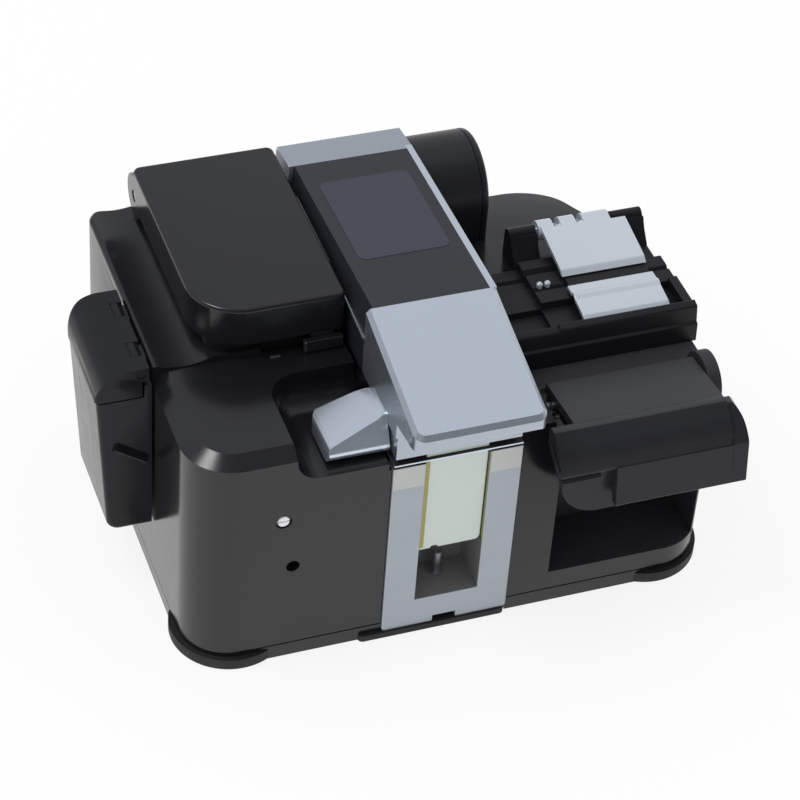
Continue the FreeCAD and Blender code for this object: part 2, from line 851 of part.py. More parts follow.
def lever_head():
    y0 = panel_front
    side = [(y0, panel_front_top, 0), (head_front, head_front_top, 0),
            (head_front, head_front_top - head_edge_h, 1.0),
            (-case_front - nose_recess, head_front_top - head_edge_h - 1.5, 0),
            (-case_front - nose_recess, nose_bottom, 0), (nose_back, nose_bottom, 0),
            (nose_back, wall_bottom, 1.5), (y0, wall_bottom, 0)]
    head = slab_x(side, -lever_half, lever_half)
    nose_half = plate_half - 0.4
    head = head.common(slab_z([(-lever_half, y0, 0), (-lever_half, head_front, head_corner),
                               (lever_half, head_front, head_corner), (lever_half, y0, 0)],
                              nose_bottom - 1, panel_front_top + 1))
    for s in (-1, 1):
        x0, x1 = sorted((s * nose_half, s * (lever_half + 1)))
        head = head.cut(box(x0, x1, -case_front - 1, nose_back + 1, nose_bottom - 1, wall_bottom))
    rims = head.Edges
    top_line = [e for e in rims if e.BoundBox.ZMin > head_front_top - 0.01
                and e.CenterOfMass.y < y0 - 1]
    head = head.makeChamfer(head_bevel, top_line)
    t = head_wall
    slope = (panel_front_top - head_front_top) / (y0 - head_front)
    inner_front = nose_back - 2
    inner = slab_x([(y0 + 1, panel_front_top + slope - t, 0),
                    (inner_front, panel_front_top - slope * (y0 - inner_front) - t, 0),
                    (inner_front, wall_bottom + 2.5, 2), (nose_back + 1.5, wall_bottom - 1, 0),
                    (y0 + 1, wall_bottom - 1, 0)], -lever_half + t, lever_half - t)
    head = head.cut(inner)
    head = head.cut(box(-window_half + window_clear, window_half - window_clear,
                        -case_front - nose_recess + block_set, block_back,
                        nose_bottom, nose_bottom + block_socket))
    return head


def thumb_tab():
    x_root = -lever_half
    x_tip = -tab_left
    side = slab_x([(tab_back, tab_root_top, tab_round), (tab_back, tab_bottom, tab_round),
                   (tab_front, tab_bottom, tab_round), (tab_ridge, tab_root_top, tab_round)],
                  x_tip - 1, x_root)
    front = slab_y([(x_root, tab_root_top, 0), (x_root, tab_bottom - 1, 0),
                    (x_tip, tab_bottom - 1, 0), (x_tip, tab_tip_top, tab_round)],
                   tab_front - 1, tab_back + 1)
    plan = slab_z([(x_root, tab_front - 1, 0), (x_root, tab_back + 1, 0),
                   (x_tip, tab_back + 1, tab_round + 2), (x_tip, tab_front - 1, tab_round + 2)],
                  tab_bottom - 1, tab_root_top + 1)
    return side.common(front).common(plan)


def lever_head_with_tab():
    return joined([lever_head(), thumb_tab()])


def guide_block():
    half = window_half - window_clear
    front = -case_front - nose_recess + block_set
    block = box(-half, half, front, block_back, block_bottom, nose_bottom + block_socket)
    block = round_edges(block, 1.2, lambda e: along(e, V(0, 1, 0)) and e.CenterOfMass.z < block_bottom + 1
                        and e.CenterOfMass.x > 0)
    notch = box(-half / 2 - block_notch / 2, -half / 2 + block_notch / 2, front - 1, block_back + 1,
                block_bottom - 1, block_bottom + 0.5)
    return block.cut(notch)


def anvil():
    y = anvil_half_y
    return slab_x([(-y, anvil_bottom, 0), (y, anvil_bottom, 0), (y, tray_under(y), 0),
                   (-y, tray_under(-y), 0)], -anvil_half_x, anvil_half_x)


def tray_under(y):
    return top_z(y) - panel_h - tray_t


def clamp_pins():
    pins = []
    for s in (-1, 1):
        x = s * clamp_pin_x
        pin = rod_z(x, 0, clamp_pin_r, clamp_bottom - 0.8, tray_under(clamp_pin_r))
        head = rod_z(x, 0, clamp_head_r, clamp_bottom - 0.8, clamp_bottom - 0.1)
        pins.append(pin.fuse(head).removeSplitter())
    return Part.makeCompound(pins)


def upper_clamp():
    block = box(-clamp_half_x, clamp_half_x, -clamp_half_y, clamp_half_y, clamp_bottom, clamp_top)
    legs = []
    low = fibre_z + fibre_r + clamp_gap + pad_depth
    for s in (-1, 1):
        x0, x1 = sorted((s * pad_inner, s * (pad_outer - 2.2)))
        legs.append(box(x0, x1, -pad_half_y, pad_half_y, low, clamp_bottom))
    block = joined([block] + legs)
    block = block.cut(box(-anvil_half_x - 0.4, anvil_half_x + 0.4, -anvil_half_y - 0.4,
                          anvil_half_y + 0.4, low - 1, clamp_top))
    for s in (-1, 1):
        block = block.cut(rod_z(s * clamp_pin_x, 0, clamp_pin_r + run_gap, clamp_bottom, clamp_top))
    return block


def upper_pads():
    low = fibre_z + fibre_r + clamp_gap
    pads = []
    for s in (-1, 1):
        x0, x1 = sorted((s * pad_inner, s * (pad_outer - 2.2)))
        pads.append(box(x0, x1, -pad_half_y, pad_half_y, low, low + pad_depth))
    return Part.makeCompound(pads)


# Front guide plate

def guide_plate():
    y0 = -case_front - plate_proud
    plate = box(-plate_half, plate_half, y0, y0 + plate_t, base_low, plate_top)
    plate = round_edges(plate, 0.8, lambda e: along(e, V(0, 1, 0)) and e.CenterOfMass.z < base_low + 1)
    half = window_half + channel_wall
    channel = box(-half, half, y0 + plate_t, channel_back + channel_wall,
                  window_floor - channel_wall, plate_top - 0.6)
    whole = joined([plate, channel])
    whole = whole.cut(box(-window_half, window_half, y0, channel_back, window_floor, plate_top))
    return whole.cut(box(-notch_half, notch_half, y0, y0 + plate_t, base_low, base_low + notch_h))


def stop_pin():
    top = block_bottom - stop_gap
    pin = rod_z(stop_x, stop_y, stop_r, window_floor, top)
    pin = bevel_edges(pin, 0.25, lambda e: at_z(e, top))
    return joined([pin, rod_z(stop_x, stop_y, stop_flange_r, window_floor, window_floor + stop_flange_h)])


def front_plug():
    y0 = -case_front
    plug = rod_y(plug_x, plug_z, plug_r, y0, y0 + case_wall)
    slot = box(plug_x - plug_r, plug_x + plug_r, y0 - 1, y0 + 0.4, plug_z - 0.2, plug_z + 0.2)
    return plug.cut(slot)


# Cutting bed

def bed_block():
    body = box(-bed_half, bed_half, bed_front, bed_back, bed_bottom, bed_top)
    flange = box(-bed_flange_half, bed_flange_half, bed_front, bed_back, well_floor,
                 well_floor + bed_flange_t)
    bed = joined([body, flange])
    in_x = bed_half - bed_wall
    bed = bed.cut(box(-in_x, in_x, bed_front + bed_wall, bed_back - bed_wall, bed_bottom,
                      bed_top - bed_skin))
    slot_front = carriage_y - carriage_travel - blade_r
    slot_back = carriage_y + blade_r
    chord = 0.6
    bed = bed.cut(box(-bed_slot_half, bed_slot_half, slot_front + chord, slot_back - chord,
                      bed_top - bed_skin - 1, bed_top))
    for s in (-1, 1):
        x0, x1 = sorted((s * pad_inner, s * pad_outer))
        bed = bed.cut(box(x0, x1, -pad_half_y, pad_half_y, bed_top - pad_depth, bed_top))
        bed = bed.cut(rod_y(s * guide_rod_x, guide_rod_z, guide_rod_r + seat_gap, bed_front, bed_back))
    groove = slab_x([(-1.0, bed_top + 0.01, 0), (0, bed_top - 0.5, 0), (1.0, bed_top + 0.01, 0)],
                    -bed_half, bed_half)
    bed = bed.cut(groove)
    return bevel_edges(bed, 0.5, lambda e: at_z(e, bed_top) and e.Length > 30)


def guide_rod(side):
    return rod_y(side * guide_rod_x, guide_rod_z, guide_rod_r, bed_front, bed_back)


def lower_pad(side):
    x0, x1 = sorted((side * pad_inner, side * pad_outer))
    return box(x0, x1, -pad_half_y, pad_half_y, bed_top - pad_depth, pad_top)


def blade_carriage():
    y0 = carriage_y - carriage_half_y
    y1 = carriage_y + carriage_half_y
    body = box(-carriage_half_x, carriage_half_x, y0, y1, carriage_bottom, carriage_top)
    for s in (-1, 1):
        x0, x1 = sorted((s * 4.2, s * (carriage_half_x + 1)))
        body = body.cut(box(x0, x1, y0, y1, guide_rod_z + 4, carriage_top))
        body = body.cut(rod_y(s * guide_rod_x, guide_rod_z, guide_rod_r + run_gap, y0, y1))
    body = body.cut(box(-carriage_slot_half, carriage_slot_half, y0, y1,
                        blade_z - blade_r - 0.4, carriage_top))
    return body.cut(rod_x(carriage_y, blade_z, blade_pin_r + seat_gap, -5, 5))


def blade_pin():
    pin = rod_x(carriage_y, blade_z, blade_pin_r, -4.2, 4.2)
    head = rod_x(carriage_y, blade_z, blade_pin_r + 1, -5.4, -4.2)
    slot = box(-5.5, -4.9, carriage_y - 3, carriage_y + 3, blade_z - 0.3, blade_z + 0.3)
    return pin.fuse(head).removeSplitter().cut(slot)


def blade_wheel():
    half = blade_t / 2
    inner = blade_r - blade_bevel
    outline = [V(-half, 0, 0), V(-half, inner, 0), V(0, blade_r, 0), V(half, inner, 0), V(half, 0, 0)]
    face = Part.Face(Part.makePolygon(outline + [outline[0]]))
    disc = face.revolve(V(0, 0, 0), V(1, 0, 0), 360)
    disc = disc.cut(rod_x(0, 0, blade_pin_r + run_gap, -1, 1))
    disc.translate(V(0, carriage_y, blade_z))
    return disc


# Rollers

def roller(z):
    sleeve = rod_y(roller_x, z, roller_r, roller_front, roller_back)
    return sleeve.cut(rod_y(roller_x, z, axle_r + 0.6, roller_front, roller_back))


def roller_axle(z, y0, y1):
    core = rod_y(roller_x, z, axle_r + 0.6, roller_front, roller_back)
    return joined([rod_y(roller_x, z, axle_r, y0, y1), core])


def roller_frame():
    x0 = roller_x - bearing_half
    x1 = roller_x + bearing_half
    y0 = roller_front - 0.8 - bearing_t - 1.4
    y1 = roller_back + 1.8 + bearing_t
    top = rear_top - case_wall
    base = box(x0, x1, y0, y1, frame_bottom, frame_bottom + frame_t)
    ends = [box(x0, x1, y0, y0 + bearing_t, frame_bottom, top),
            box(x0, x1, y1 - bearing_t, y1, frame_bottom, top)]
    flanges = [box(x0 - 6, x0, y0, y0 + bearing_t, top - 4, top),
               box(x0 - 6, x0, y1 - bearing_t, y1, top - 4, top)]
    frame = joined([base] + ends + flanges)
    return frame.cut(rod_y(roller_x, feed_z, axle_r + run_gap, y0, y1))


# Top lid

def lid_plan(inset):
    small = max(lid_small_corner - inset, 0.2)
    return [(lid_left + inset, lid_front + inset, lid_corner - inset),
            (lid_right - inset, lid_front + inset, small),
            (lid_right - inset, lid_back - inset, small),
            (lid_left + inset, lid_back - inset, small)]


def top_lid():
    lid = slab_z(lid_plan(0), lid_bottom, lid_top)
    lid = round_edges(lid, lid_edge, lambda e: at_z(e, lid_top))
    lid = lid.cut(slab_z(lid_plan(lid_t), lid_bottom, lid_top - lid_t))
    spans = [(lid_left, lid_lug_left - side_gap)]
    spans.append((lid_lug_left + lid_lug_w + side_gap, lid_lug_right - side_gap))
    spans.append((lid_lug_right + lid_lug_w + side_gap, lid_right))
    inside_top = lid_top - lid_t
    knuckles = []
    for x0, x1 in spans:
        knuckle = rod_x(lid_hinge_y, lid_hinge_z, lid_knuckle_r, x0, x1)
        web = box(x0, x1, lid_hinge_y - 3, lid_back, lid_hinge_z, inside_top)
        knuckles.append(joined([knuckle, web]))
    lid = joined([lid] + knuckles)
    for x0, x1 in lug_spans():
        lid = lid.cut(box(x0 - side_gap, x1 + side_gap, lid_hinge_y - lid_knuckle_r, lid_back + 5,
                          lid_bottom - 4, inside_top - 0.01))
    ear_front = roller_front - side_gap - bearing_t
    ear_back = roller_back + side_gap
    for y0 in (ear_front, ear_back):
        ear = slab_y([(roller_x - bearing_half, inside_top, 0), (roller_x - bearing_half, pinch_z, 0),
                      (roller_x - 2, pinch_z - 2.1, 1), (roller_x + 2, pinch_z - 2.1, 1),
                      (roller_x + bearing_half, pinch_z, 0), (roller_x + bearing_half, inside_top, 0)],
                     y0, y0 + bearing_t)
        lid = lid.fuse(ear)
    lid = lid.removeSplitter()
    lid = lid.cut(rod_y(roller_x, pinch_z, axle_r + run_gap, ear_front, ear_back + bearing_t))
    return lid.cut(rod_x(lid_hinge_y, lid_hinge_z, lid_pin_r + run_gap, lid_left, lid_right))


def lid_pin():
    return rod_x(lid_hinge_y, lid_hinge_z, lid_pin_r, lid_left + 0.2, lid_right - 0.2)


# Scrap bin

def bin_side(z):
    """Outer face of the bin at a height."""
    share = (z - bin_bottom) / (bin_lip - bin_bottom)
    return -case_left - bin_out_bottom - (bin_out_top - bin_out_bottom) * share


def bin_edge(edge, y):
    """True for the upright outer edge of the bin at one end."""
    b = edge.BoundBox
    middle = (bin_side(bin_bottom) + bin_side(bin_lip)) / 2
    return (abs(b.YMin - y) < 1e-4 and abs(b.YMax - y) < 1e-4 and b.ZMax - b.ZMin > 15
            and abs(edge.CenterOfMass.x - middle) < 1.5)


def scrap_bin():
    x_in = bin_wall_x
    outer = slab_y([(x_in, bin_bottom, 0), (bin_side(bin_bottom), bin_bottom, 2.5),
                    (bin_side(bin_lip), bin_lip, 0), (x_in, bin_lip, 0)], bin_front, bin_back)
    outer = round_edges(outer, bin_corner, lambda e: bin_edge(e, bin_back))
    outer = round_edges(outer, bin_front_corner, lambda e: bin_edge(e, bin_front))
    t = bin_t
    hollow = slab_y([(x_in - t, bin_bottom + t, 0), (bin_side(bin_bottom) + t, bin_bottom + t, 1.2),
                     (bin_side(bin_lip) + t, bin_lip + 1, 0), (x_in - t, bin_lip + 1, 0)],
                    bin_front + t, bin_back - t)
    back_wall = box(x_in - t, x_in, bin_front, bin_back, bin_lip, bin_pin_z - bin_wall_drop)
    lugs = []
    span = (bin_back - bin_front)
    for f in (0.25, 0.75):
        y = bin_front + span * f
        lugs.append(joined([rod_y(x_in - bin_pin_in, bin_pin_z, 1.5, y - 2, y + 2),
                            box(x_in - bin_pin_in, x_in, y - 2, y + 2, bin_pin_z - 2.5, bin_pin_z + 0.6)]))
    spigot = box(x_in, -case_left + spigot_in, -spigot_half, spigot_half, spigot_low, spigot_high)
    ridge_low = bin_ridge_z - bin_ridge_h / 2
    ridge_high = bin_ridge_z + bin_ridge_h / 2
    ridge = slab_x([(bin_front + 0.5, ridge_low, 0), (bin_front - bin_ridge_out, ridge_low + 0.6, 0.4),
                    (bin_front, ridge_high, 0), (bin_front + 0.5, ridge_high, 0)],
                   bin_ridge_x - bin_ridge_len / 2, bin_ridge_x + bin_ridge_len / 2)
    ridge.rotate(V(bin_ridge_x, bin_front, bin_ridge_z), V(0, 1, 0), bin_ridge_tilt)
    body = joined([outer.cut(hollow), back_wall, spigot, ridge] + lugs)
    body = body.cut(box(x_in - t - 0.5, -case_left + spigot_in, -spigot_half + 0.8, spigot_half - 0.8,
                        spigot_low + 0.5, spigot_high - 0.5))
    return body.cut(rod_y(x_in - bin_pin_in, bin_pin_z, bin_pin_r + seat_gap, bin_front, bin_back))


def bin_cover():
    x_in = bin_wall_x
    x_hinge = x_in - bin_pin_in
    low = bin_lip + 0.3
    x_out = bin_side(bin_lip) - 0.3
    edge = x_in - bin_cover_in
    profile = [(edge, bin_roof, 0), (x_out, bin_roof, bin_round), (x_out, low, 0), (edge, low, 0)]
    cover = slab_y(profile, bin_front, bin_back)
    cover = cover.common(slab_z([(edge, bin_front, 0), (x_out, bin_front, bin_front_corner),
                                 (x_out, bin_back, bin_corner), (edge, bin_back, 0)], low, bin_roof))
    t = bin_t
    inner = [(x_in, bin_roof - t, 0), (x_out + t, bin_roof - t, bin_round - t), (x_out + t, low - 1, 0),
             (x_in, low - 1, 0)]
    cover = cover.cut(slab_y(inner, bin_front + t, bin_back - t))
    cover = cover.cut(box(x_in - 1.8, x_in, bin_front, bin_back, low - 1, bin_pin_z - 1.5))
    cover = joined([cover, rod_y(x_hinge, bin_pin_z, 1.5, bin_front, bin_back)])
    span = (bin_back - bin_front)
    for f in (0.25, 0.75):
        y = bin_front + span * f
        cover = cover.cut(rod_y(x_hinge, bin_pin_z, 1.9, y - 2.3, y + 2.3))
        cover = cover.cut(box(x_hinge, x_in, y - 2.3, y + 2.3, bin_pin_z - 2, bin_roof + 1))
    cover = cover.cut(box(x_in - bin_t - 0.3, x_in, bin_front - 1, bin_back + 1, low - 1,
                          bin_pin_z - 1.6))
    return cover.cut(rod_y(x_hinge, bin_pin_z, bin_pin_r + run_gap, bin_front, bin_back))


def bin_pin():
    return rod_y(bin_wall_x - bin_pin_in, bin_pin_z, bin_pin_r, bin_front + 0.2, bin_back - 0.2)


# Fibre platform and clamp

def fibre_platform():
    profile = [
        (platform_front, front_deck, 0), (platform_front + 0.3, step_z, 0.2),
        (platform_front + 0.9, step_z + 0.3, 0.1), (rail_front, rail_top - 0.4, 0.5),
        (rail_back, rail_top, 0.4),
        (rail_back + 0.8, tray_z, 0.6), (ledge_y, tray_z, 0), (ledge_y + 0.4, land_z, 0),
        (stop_groove_y - 0.6, land_z, 0), (stop_groove_y, land_z - 0.6, 0),
        (stop_groove_y + 0.6, land_z, 0), (-groove_half, land_z, 0), (0, land_z - groove_depth, 0),
        (groove_half, land_z, 0), (land_back, land_z, 0), (land_back + 0.9, rear_deck + 1.2, 0),
        (rod_y_pos - barrel_r - 1, rear_deck + 0.8, 0), (rod_y_pos - barrel_r - 1, rear_deck, 0),
        (seam_y, rear_deck, 0), (seam_y, front_deck, 0)]
    main = slab_x(profile, platform_left, platform_right)
    low_z = tray_z - 0.4
    approach = [
        (platform_front, front_deck, 0), (platform_front + 0.3, step_z, 0.2),
        (platform_front + 0.9, step_z + 0.3, 0.1), (rail_front, rail_top - 0.9, 0.5),
        (rail_back, rail_top - 0.5, 0.4),
        (rail_back + 0.8, low_z - 0.8, 0.6), (ledge_y, low_z - 0.8, 0), (ledge_y + 0.4, low_z + 0.4, 0),
        (-groove_half - 2, low_z + 0.4, 0), (-groove_half - 2, low_z, 0), (-0.6, low_z, 0),
        (0, low_z - 0.6, 0), (0.6, low_z, 0), (land_back, low_z, 0), (land_back, rear_deck, 0),
        (seam_y, rear_deck, 0), (seam_y, front_deck, 0)]
    left = slab_x(approach, bed_left, platform_left)
    barrels = []
    for x0, x1 in ((platform_left, barrel_left_end), (barrel_right_start, platform_right)):
        barrels.append(rod_x(rod_y_pos, rod_z_pos, barrel_r, x0, x1))
        barrels.append(slab_x([(land_back + 0.3, rear_deck, 0), (land_back + 0.3, rear_deck + 0.6, 0),
                               (rod_y_pos - barrel_r - 1.6, rod_z_pos - 1.4, 0),
                               (rod_y_pos - barrel_r - 0.5, rod_z_pos + 0.7, 0),
                               (rod_y_pos, rod_z_pos, 0), (rod_y_pos + barrel_r, rod_z_pos, 0),
                               (rod_y_pos + barrel_r, rear_deck, 0)], x0, x1))
    rib = box(platform_right - tray_rib, platform_right, rail_back, ledge_y + 0.4, tray_z - 1,
              tray_z + tray_rib_h)
    whole = joined([main, left, rib] + barrels)
    whole = whole.cut(box(platform_right - 2.6, platform_right + 1, -1.7, land_back + 1,
                          fibre_z - 1.8, land_z + 1))
    whole = whole.cut(rod_x(rod_y_pos, rod_z_pos, rod_r + seat_gap, platform_left + 0.8,
                            platform_right - 0.6))
    for i in (0, 1):
        whole = whole.cut(rod_z(locator_x + i * locator_pitch, locator_y, locator_r + seat_gap,
                                land_z - 3, land_z))
    return whole


def locating_pins():
    pins = []
    for i in (0, 1):
        pin = rod_z(locator_x + i * locator_pitch, locator_y, locator_r, land_z - 3, land_z + locator_h)
        pins.append(bevel_edges(pin, 0.25, lambda e: at_z(e, land_z + locator_h)))
    return Part.makeCompound(pins)


def clamp_rod():
    return rod_x(rod_y_pos, rod_z_pos, rod_r, platform_left + 0.8, platform_right - 0.6)


def clamp_plate():
    """Hinged sheet-metal plate that rolls round the rod at its back and down at its lip."""
    t = clamp_sheet
    top = rod_z_pos + sheet_roll_r
    line = [(rod_y_pos, top, 0), (rod_y_pos - 3.2, top - 0.5, 2), (clamp_lip_y + 1.2, clamp_lip_z + 0.9, 1.5),
            (clamp_lip_y, clamp_lip_z, 0)]
    under = [(clamp_lip_y + 0.7, clamp_lip_z - 0.2, 0), (clamp_lip_y + 1.7, clamp_lip_z + 0.9 - t, 0.8),
             (rod_y_pos - 3.0, top - 0.5 - t, 1.2), (rod_y_pos, top - t, 0)]
    sheet = slab_x(line + under, clamp_left, clamp_right)
    tube = rod_x(rod_y_pos, rod_z_pos, sheet_roll_r, barrel_left_end + side_gap, barrel_right_start - side_gap)
    plate = joined([sheet, tube])
    back = rod_y_pos + sheet_roll_r + 1
    plate = plate.cut(box(barrel_right_start - side_gap, clamp_right + 1, rod_y_pos - barrel_r - 0.6, back,
                          rod_z_pos - 3, top + 1))
    for x in (clamp_left + slot_first, clamp_left + slot_second):
        plate = plate.cut(box(x, x + slot_w, rod_y_pos - 1.6, back, rod_z_pos - 3, top + 1))
    return plate.cut(rod_x(rod_y_pos, rod_z_pos, rod_r + run_gap, barrel_left_end, barrel_right_start))


def finger_plate():
    """Front sheet of the clamp, ridged along its back and curled down at its right front corner."""
    t = clamp_sheet
    z = finger_z
    line = [(finger_back, z, 0.4), (finger_back - 2.2, z, 0.8), (finger_back - 3.2, z + 0.5, 0.8),
            (finger_back - 4.4, z - 0.1, 0.8), (finger_front + 0.8, z - 0.7, 0.8),
            (finger_front, z - 1.2, 0)]
    under = [(finger_front + 0.5, z - 1.4 - t / 2, 0), (finger_front + 1.4, z - 0.75 - t, 0.5),
             (finger_back - 4.4, z - 0.1 - t, 0.5), (finger_back - 3.2, z + 0.5 - t, 0.4),
             (finger_back - 2.2, z - t, 0.5), (finger_back, z - t, 0)]
    return slab_x(line + under, finger_left, finger_right)


def clamp_bar():
    """Dark bar that joins the two sheets and presses on the fibre's coating."""
    z1 = clamp_lip_z + 0.1
    bar = box(finger_left + 0.6, finger_right - 0.2, finger_back - 1.5, clamp_lip_y + 0.6,
              finger_z - clamp_sheet - bar_h + 0.6, finger_z - clamp_sheet)
    upper = box(finger_left + 0.6, finger_right - 0.2, finger_back + 0.02, clamp_lip_y + 0.6,
                finger_z - clamp_sheet - 0.1, z1 - 0.4)
    return joined([bar, upper])


def clamp_pad():
    low = fibre_z + fibre_r + 0.1
    wide = box(clamp_left + 2, clamp_right - 2, -1.6, 3.0, low, clamp_lip_z + 0.9)
    t = clamp_sheet
    top = rod_z_pos + sheet_roll_r
    under = slab_x([(clamp_lip_y + 1.7, clamp_lip_z + 0.9 - t, 0), (rod_y_pos - 3.0, top - 0.5 - t, 0),
                    (rod_y_pos - 3.0, low - 1, 0), (clamp_lip_y + 1.7, low - 1, 0)],
                   clamp_left, clamp_right)
    return wide.common(under)


# Press lever

def press_lever():
    t = press_t
    panel = slab_x([(press_back_y, press_back_z, 0.5), (press_edge_y, press_edge_z, 0),
                    (grip_ridge_y, press_edge_z + 0.2, 0), (grip_ridge_y, press_edge_z - t, 0),
                    (press_edge_y, press_edge_z - t, 0), (press_back_y, press_back_z - t, 0)],
                   press_left, press_right)
    g = grip_t
    section = [(press_edge_y - 0.6, press_edge_z - t - 0.4, 0), (press_edge_y - 0.6, grip_ridge_z - 0.5, 0.3),
               (grip_ridge_y, grip_ridge_z, 1.6), (grip_slope_y + 2.2, grip_slope_z + 3.0, 4.5),
               (grip_slope_y + 0.05, grip_slope_z - 1.8, 0.8),
               (grip_slope_y + g, grip_slope_z - 1.6, 0.4), (grip_ridge_y - 1.2, grip_ridge_z - t - 1.6, 1)]
    roll = slab_x(section, grip_left, grip_right - 3)
    slot = slab_x([(grip_ridge_y, grip_ridge_z - 2.3, 0.3), (grip_slope_y + 1.5, grip_slope_z + 0.5, 0.3),
                   (grip_slope_y + 1.1, grip_slope_z - 0.6, 0.3), (grip_ridge_y - 0.4, grip_ridge_z - 3.4, 0.3)],
                  grip_left - 1, grip_left + slot_deep)
    closing = slab_x([(press_edge_y - 0.6, grip_ridge_z - 2.2, 0), (grip_ridge_y - 0.2, grip_ridge_z - 1.4, 0),
                      (grip_slope_y + g, grip_slope_z - 1.2, 0), (grip_slope_y + 0.4, grip_slope_z - 2.2, 0),
                      (grip_slope_y + 1.6, grip_slope_z - 2.6, 0), (press_edge_y - 0.6, grip_ridge_z - 4.2, 0)],
                     grip_left, pocket_left + 4)
    skirt = slab_x([(grip_slope_y + 0.2, grip_slope_z - 0.7, 0), (grip_front, grip_bottom, 0.4),
                    (grip_front + g, grip_bottom, 0.4), (grip_slope_y + 0.2 + g, grip_slope_z - 0.7, 0)],
                   skirt_left, grip_right)
    inner = slab_y([(inner_left, grip_slope_z - 0.9, 0), (inner_left, inner_bottom, inner_round),
                    (grip_right - 3, inner_bottom, 2), (grip_right - 3, grip_slope_z - 0.9, 0)],
                   inner_front, inner_front + inner_t)
    end = slab_x([(press_edge_y - 0.6, grip_ridge_z - 1.1, 0), (grip_ridge_y - 0.4, grip_ridge_z - 0.8, 1.5),
                  (grip_slope_y + 0.2, grip_slope_z - 0.1, 2.5), (grip_front, grip_bottom, 0.6),
                  (press_edge_y - 3.2, grip_bottom, 0), (press_edge_y - 0.6, grip_bottom + 6, 0)],
                 grip_right - 3, grip_right)
    knuckles = []
    for x0, x1 in ((press_left + 0.3, press_left + 0.3 + press_knuckle_len),
                   (press_right - 0.3 - press_knuckle_len, press_right - 0.3)):
        knuckles.append(rod_x(press_y, press_z, press_knuckle_r, x0, x1))
        knuckles.append(box(x0, x1, press_y - 1.6, press_y + 1.2, press_z, press_back_z - t + 0.6))
    ribs = []
    for x0 in (press_left + 1.5, press_right - 3.3):
        ribs.append(slab_x([(press_y - 1, press_back_z - t - 0.2, 0), (grip_ridge_y - 1.2, grip_ridge_z - t - 1.2, 0),
                            (grip_ridge_y + 0.6, grip_ridge_z - 7.0, 0), (press_y - 1, press_z - 1.5, 0)],
                           x0, x0 + 1.8))
    rib = slab_x([(grip_slope_y + 0.5, grip_slope_z - 1.0, 0), (grip_front + 0.2, grip_bottom, 0), (grip_front + 5.5, grip_bottom + 3.5, 0),
                  (grip_ridge_y, grip_ridge_z - 6.5, 0)], skirt_left, skirt_left + g)
    relief = rod_x(press_y, press_z, press_spring_r + press_spring_wire + side_gap,
                   press_left + 0.3 + press_knuckle_len, press_right - 0.3 - press_knuckle_len)
    hand = joined([roll, closing, skirt, inner, end, rib]).cut(slot)
    hand = hand.common(slab_y([(grip_left, grip_bottom - 5, 0), (grip_right, grip_bottom - 5, 0),
                               (grip_right, grip_ridge_z + 0.1, grip_corner),
                               (grip_left, grip_ridge_z + 0.1, 0)], grip_front - 1, press_edge_y + 1))
    lever = joined([panel.cut(relief), hand] + knuckles + ribs)
    return lever.cut(rod_x(press_y, press_z, press_pin_r + run_gap, press_left, press_right))


def press_pin():
    return rod_x(press_y, press_z, press_pin_r, pocket_left - case_wall + 0.4, case_right - 1.0)


def press_spring():
    x0 = press_left + 0.3 + press_knuckle_len + 1.2
    return coil_x(press_y, press_z, press_spring_r, press_spring_wire, x0, press_spring_turns)


def build_nodes():
    ear_front = roller_front - side_gap - bearing_t
    ear_back = roller_back + side_gap + bearing_t
    frame_front = roller_front - 0.8 - bearing_t - 1.4
    frame_back = roller_back + 1.8 + bearing_t
    return {
        "base_plate": base_plate(),
        "base_screws": base_screws(),
        "foot_front_left": corner_foot(0),
        "foot_front_right": corner_foot(1),
        "foot_rear_left": corner_foot(4),
        "foot_rear_right": corner_foot(3),
        "centre_pad": centre_pad(),
        "front_case": front_case(),
        "rear_case": rear_case(),
        "hinge_drum": hinge_drum(),
        "drum_cap": drum_cap(),
        "lever_pin": lever_pin(),
        "lever_spring": lever_spring(),
        "guide_plate": guide_plate(),
        "stop_pin": stop_pin(),
        "front_plug": front_plug(),
        "bed_block": bed_block(),
        "guide_rod_left": guide_rod(-1),
        "guide_rod_right": guide_rod(1),
        "lower_pad_left": lower_pad(-1),
        "lower_pad_right": lower_pad(1),
        "roller_frame": roller_frame(),
        "lid_pin": lid_pin(),
        "fibre_platform": fibre_platform(),
        "locating_pins": locating_pins(),
        "clamp_rod": clamp_rod(),
        "press_pin": press_pin(),
        "press_spring": press_spring(),
        "lever_frame": lever_frame(),
        "lever_panel": lever_panel(),
        "label_plate": label_plate(),
        "lever_head": lever_head_with_tab(),
        "guide_block": guide_block(),
        "anvil": anvil(),
        "clamp_pins": clamp_pins(),
        "upper_clamp": upper_clamp(),
        "upper_pads": upper_pads(),
        "blade_carriage": blade_carriage(),
        "blade_pin": blade_pin(),
        "blade_wheel": blade_wheel(),
        "feed_roller": roller(feed_z),
        "feed_axle": roller_axle(feed_z, frame_front, frame_back),
        "pinch_roller": roller(pinch_z),
        "pinch_axle": roller_axle(pinch_z, ear_front, ear_back),
        "top_lid": top_lid(),
        "scrap_bin": scrap_bin(),
        "bin_cover": bin_cover(),
        "bin_pin": bin_pin(),
        "clamp_plate": clamp_plate(),
        "finger_plate": finger_plate(),
        "clamp_bar": clamp_bar(),
        "clamp_pad": clamp_pad(),
        "press_lever": press_lever(),
    }


os.makedirs("parts", exist_ok=True)
for name, shape in build_nodes().items():
    shape.exportStep("parts/" + name + ".step")
    b = shape.BoundBox
    print("%-18s solids %d valid %s  x %.1f %.1f  y %.1f %.1f  z %.1f %.1f" % (
        name, len(shape.Solids), shape.isValid(), b.XMin, b.XMax, b.YMin, b.YMax, b.ZMin, b.ZMax))
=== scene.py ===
import json
import math

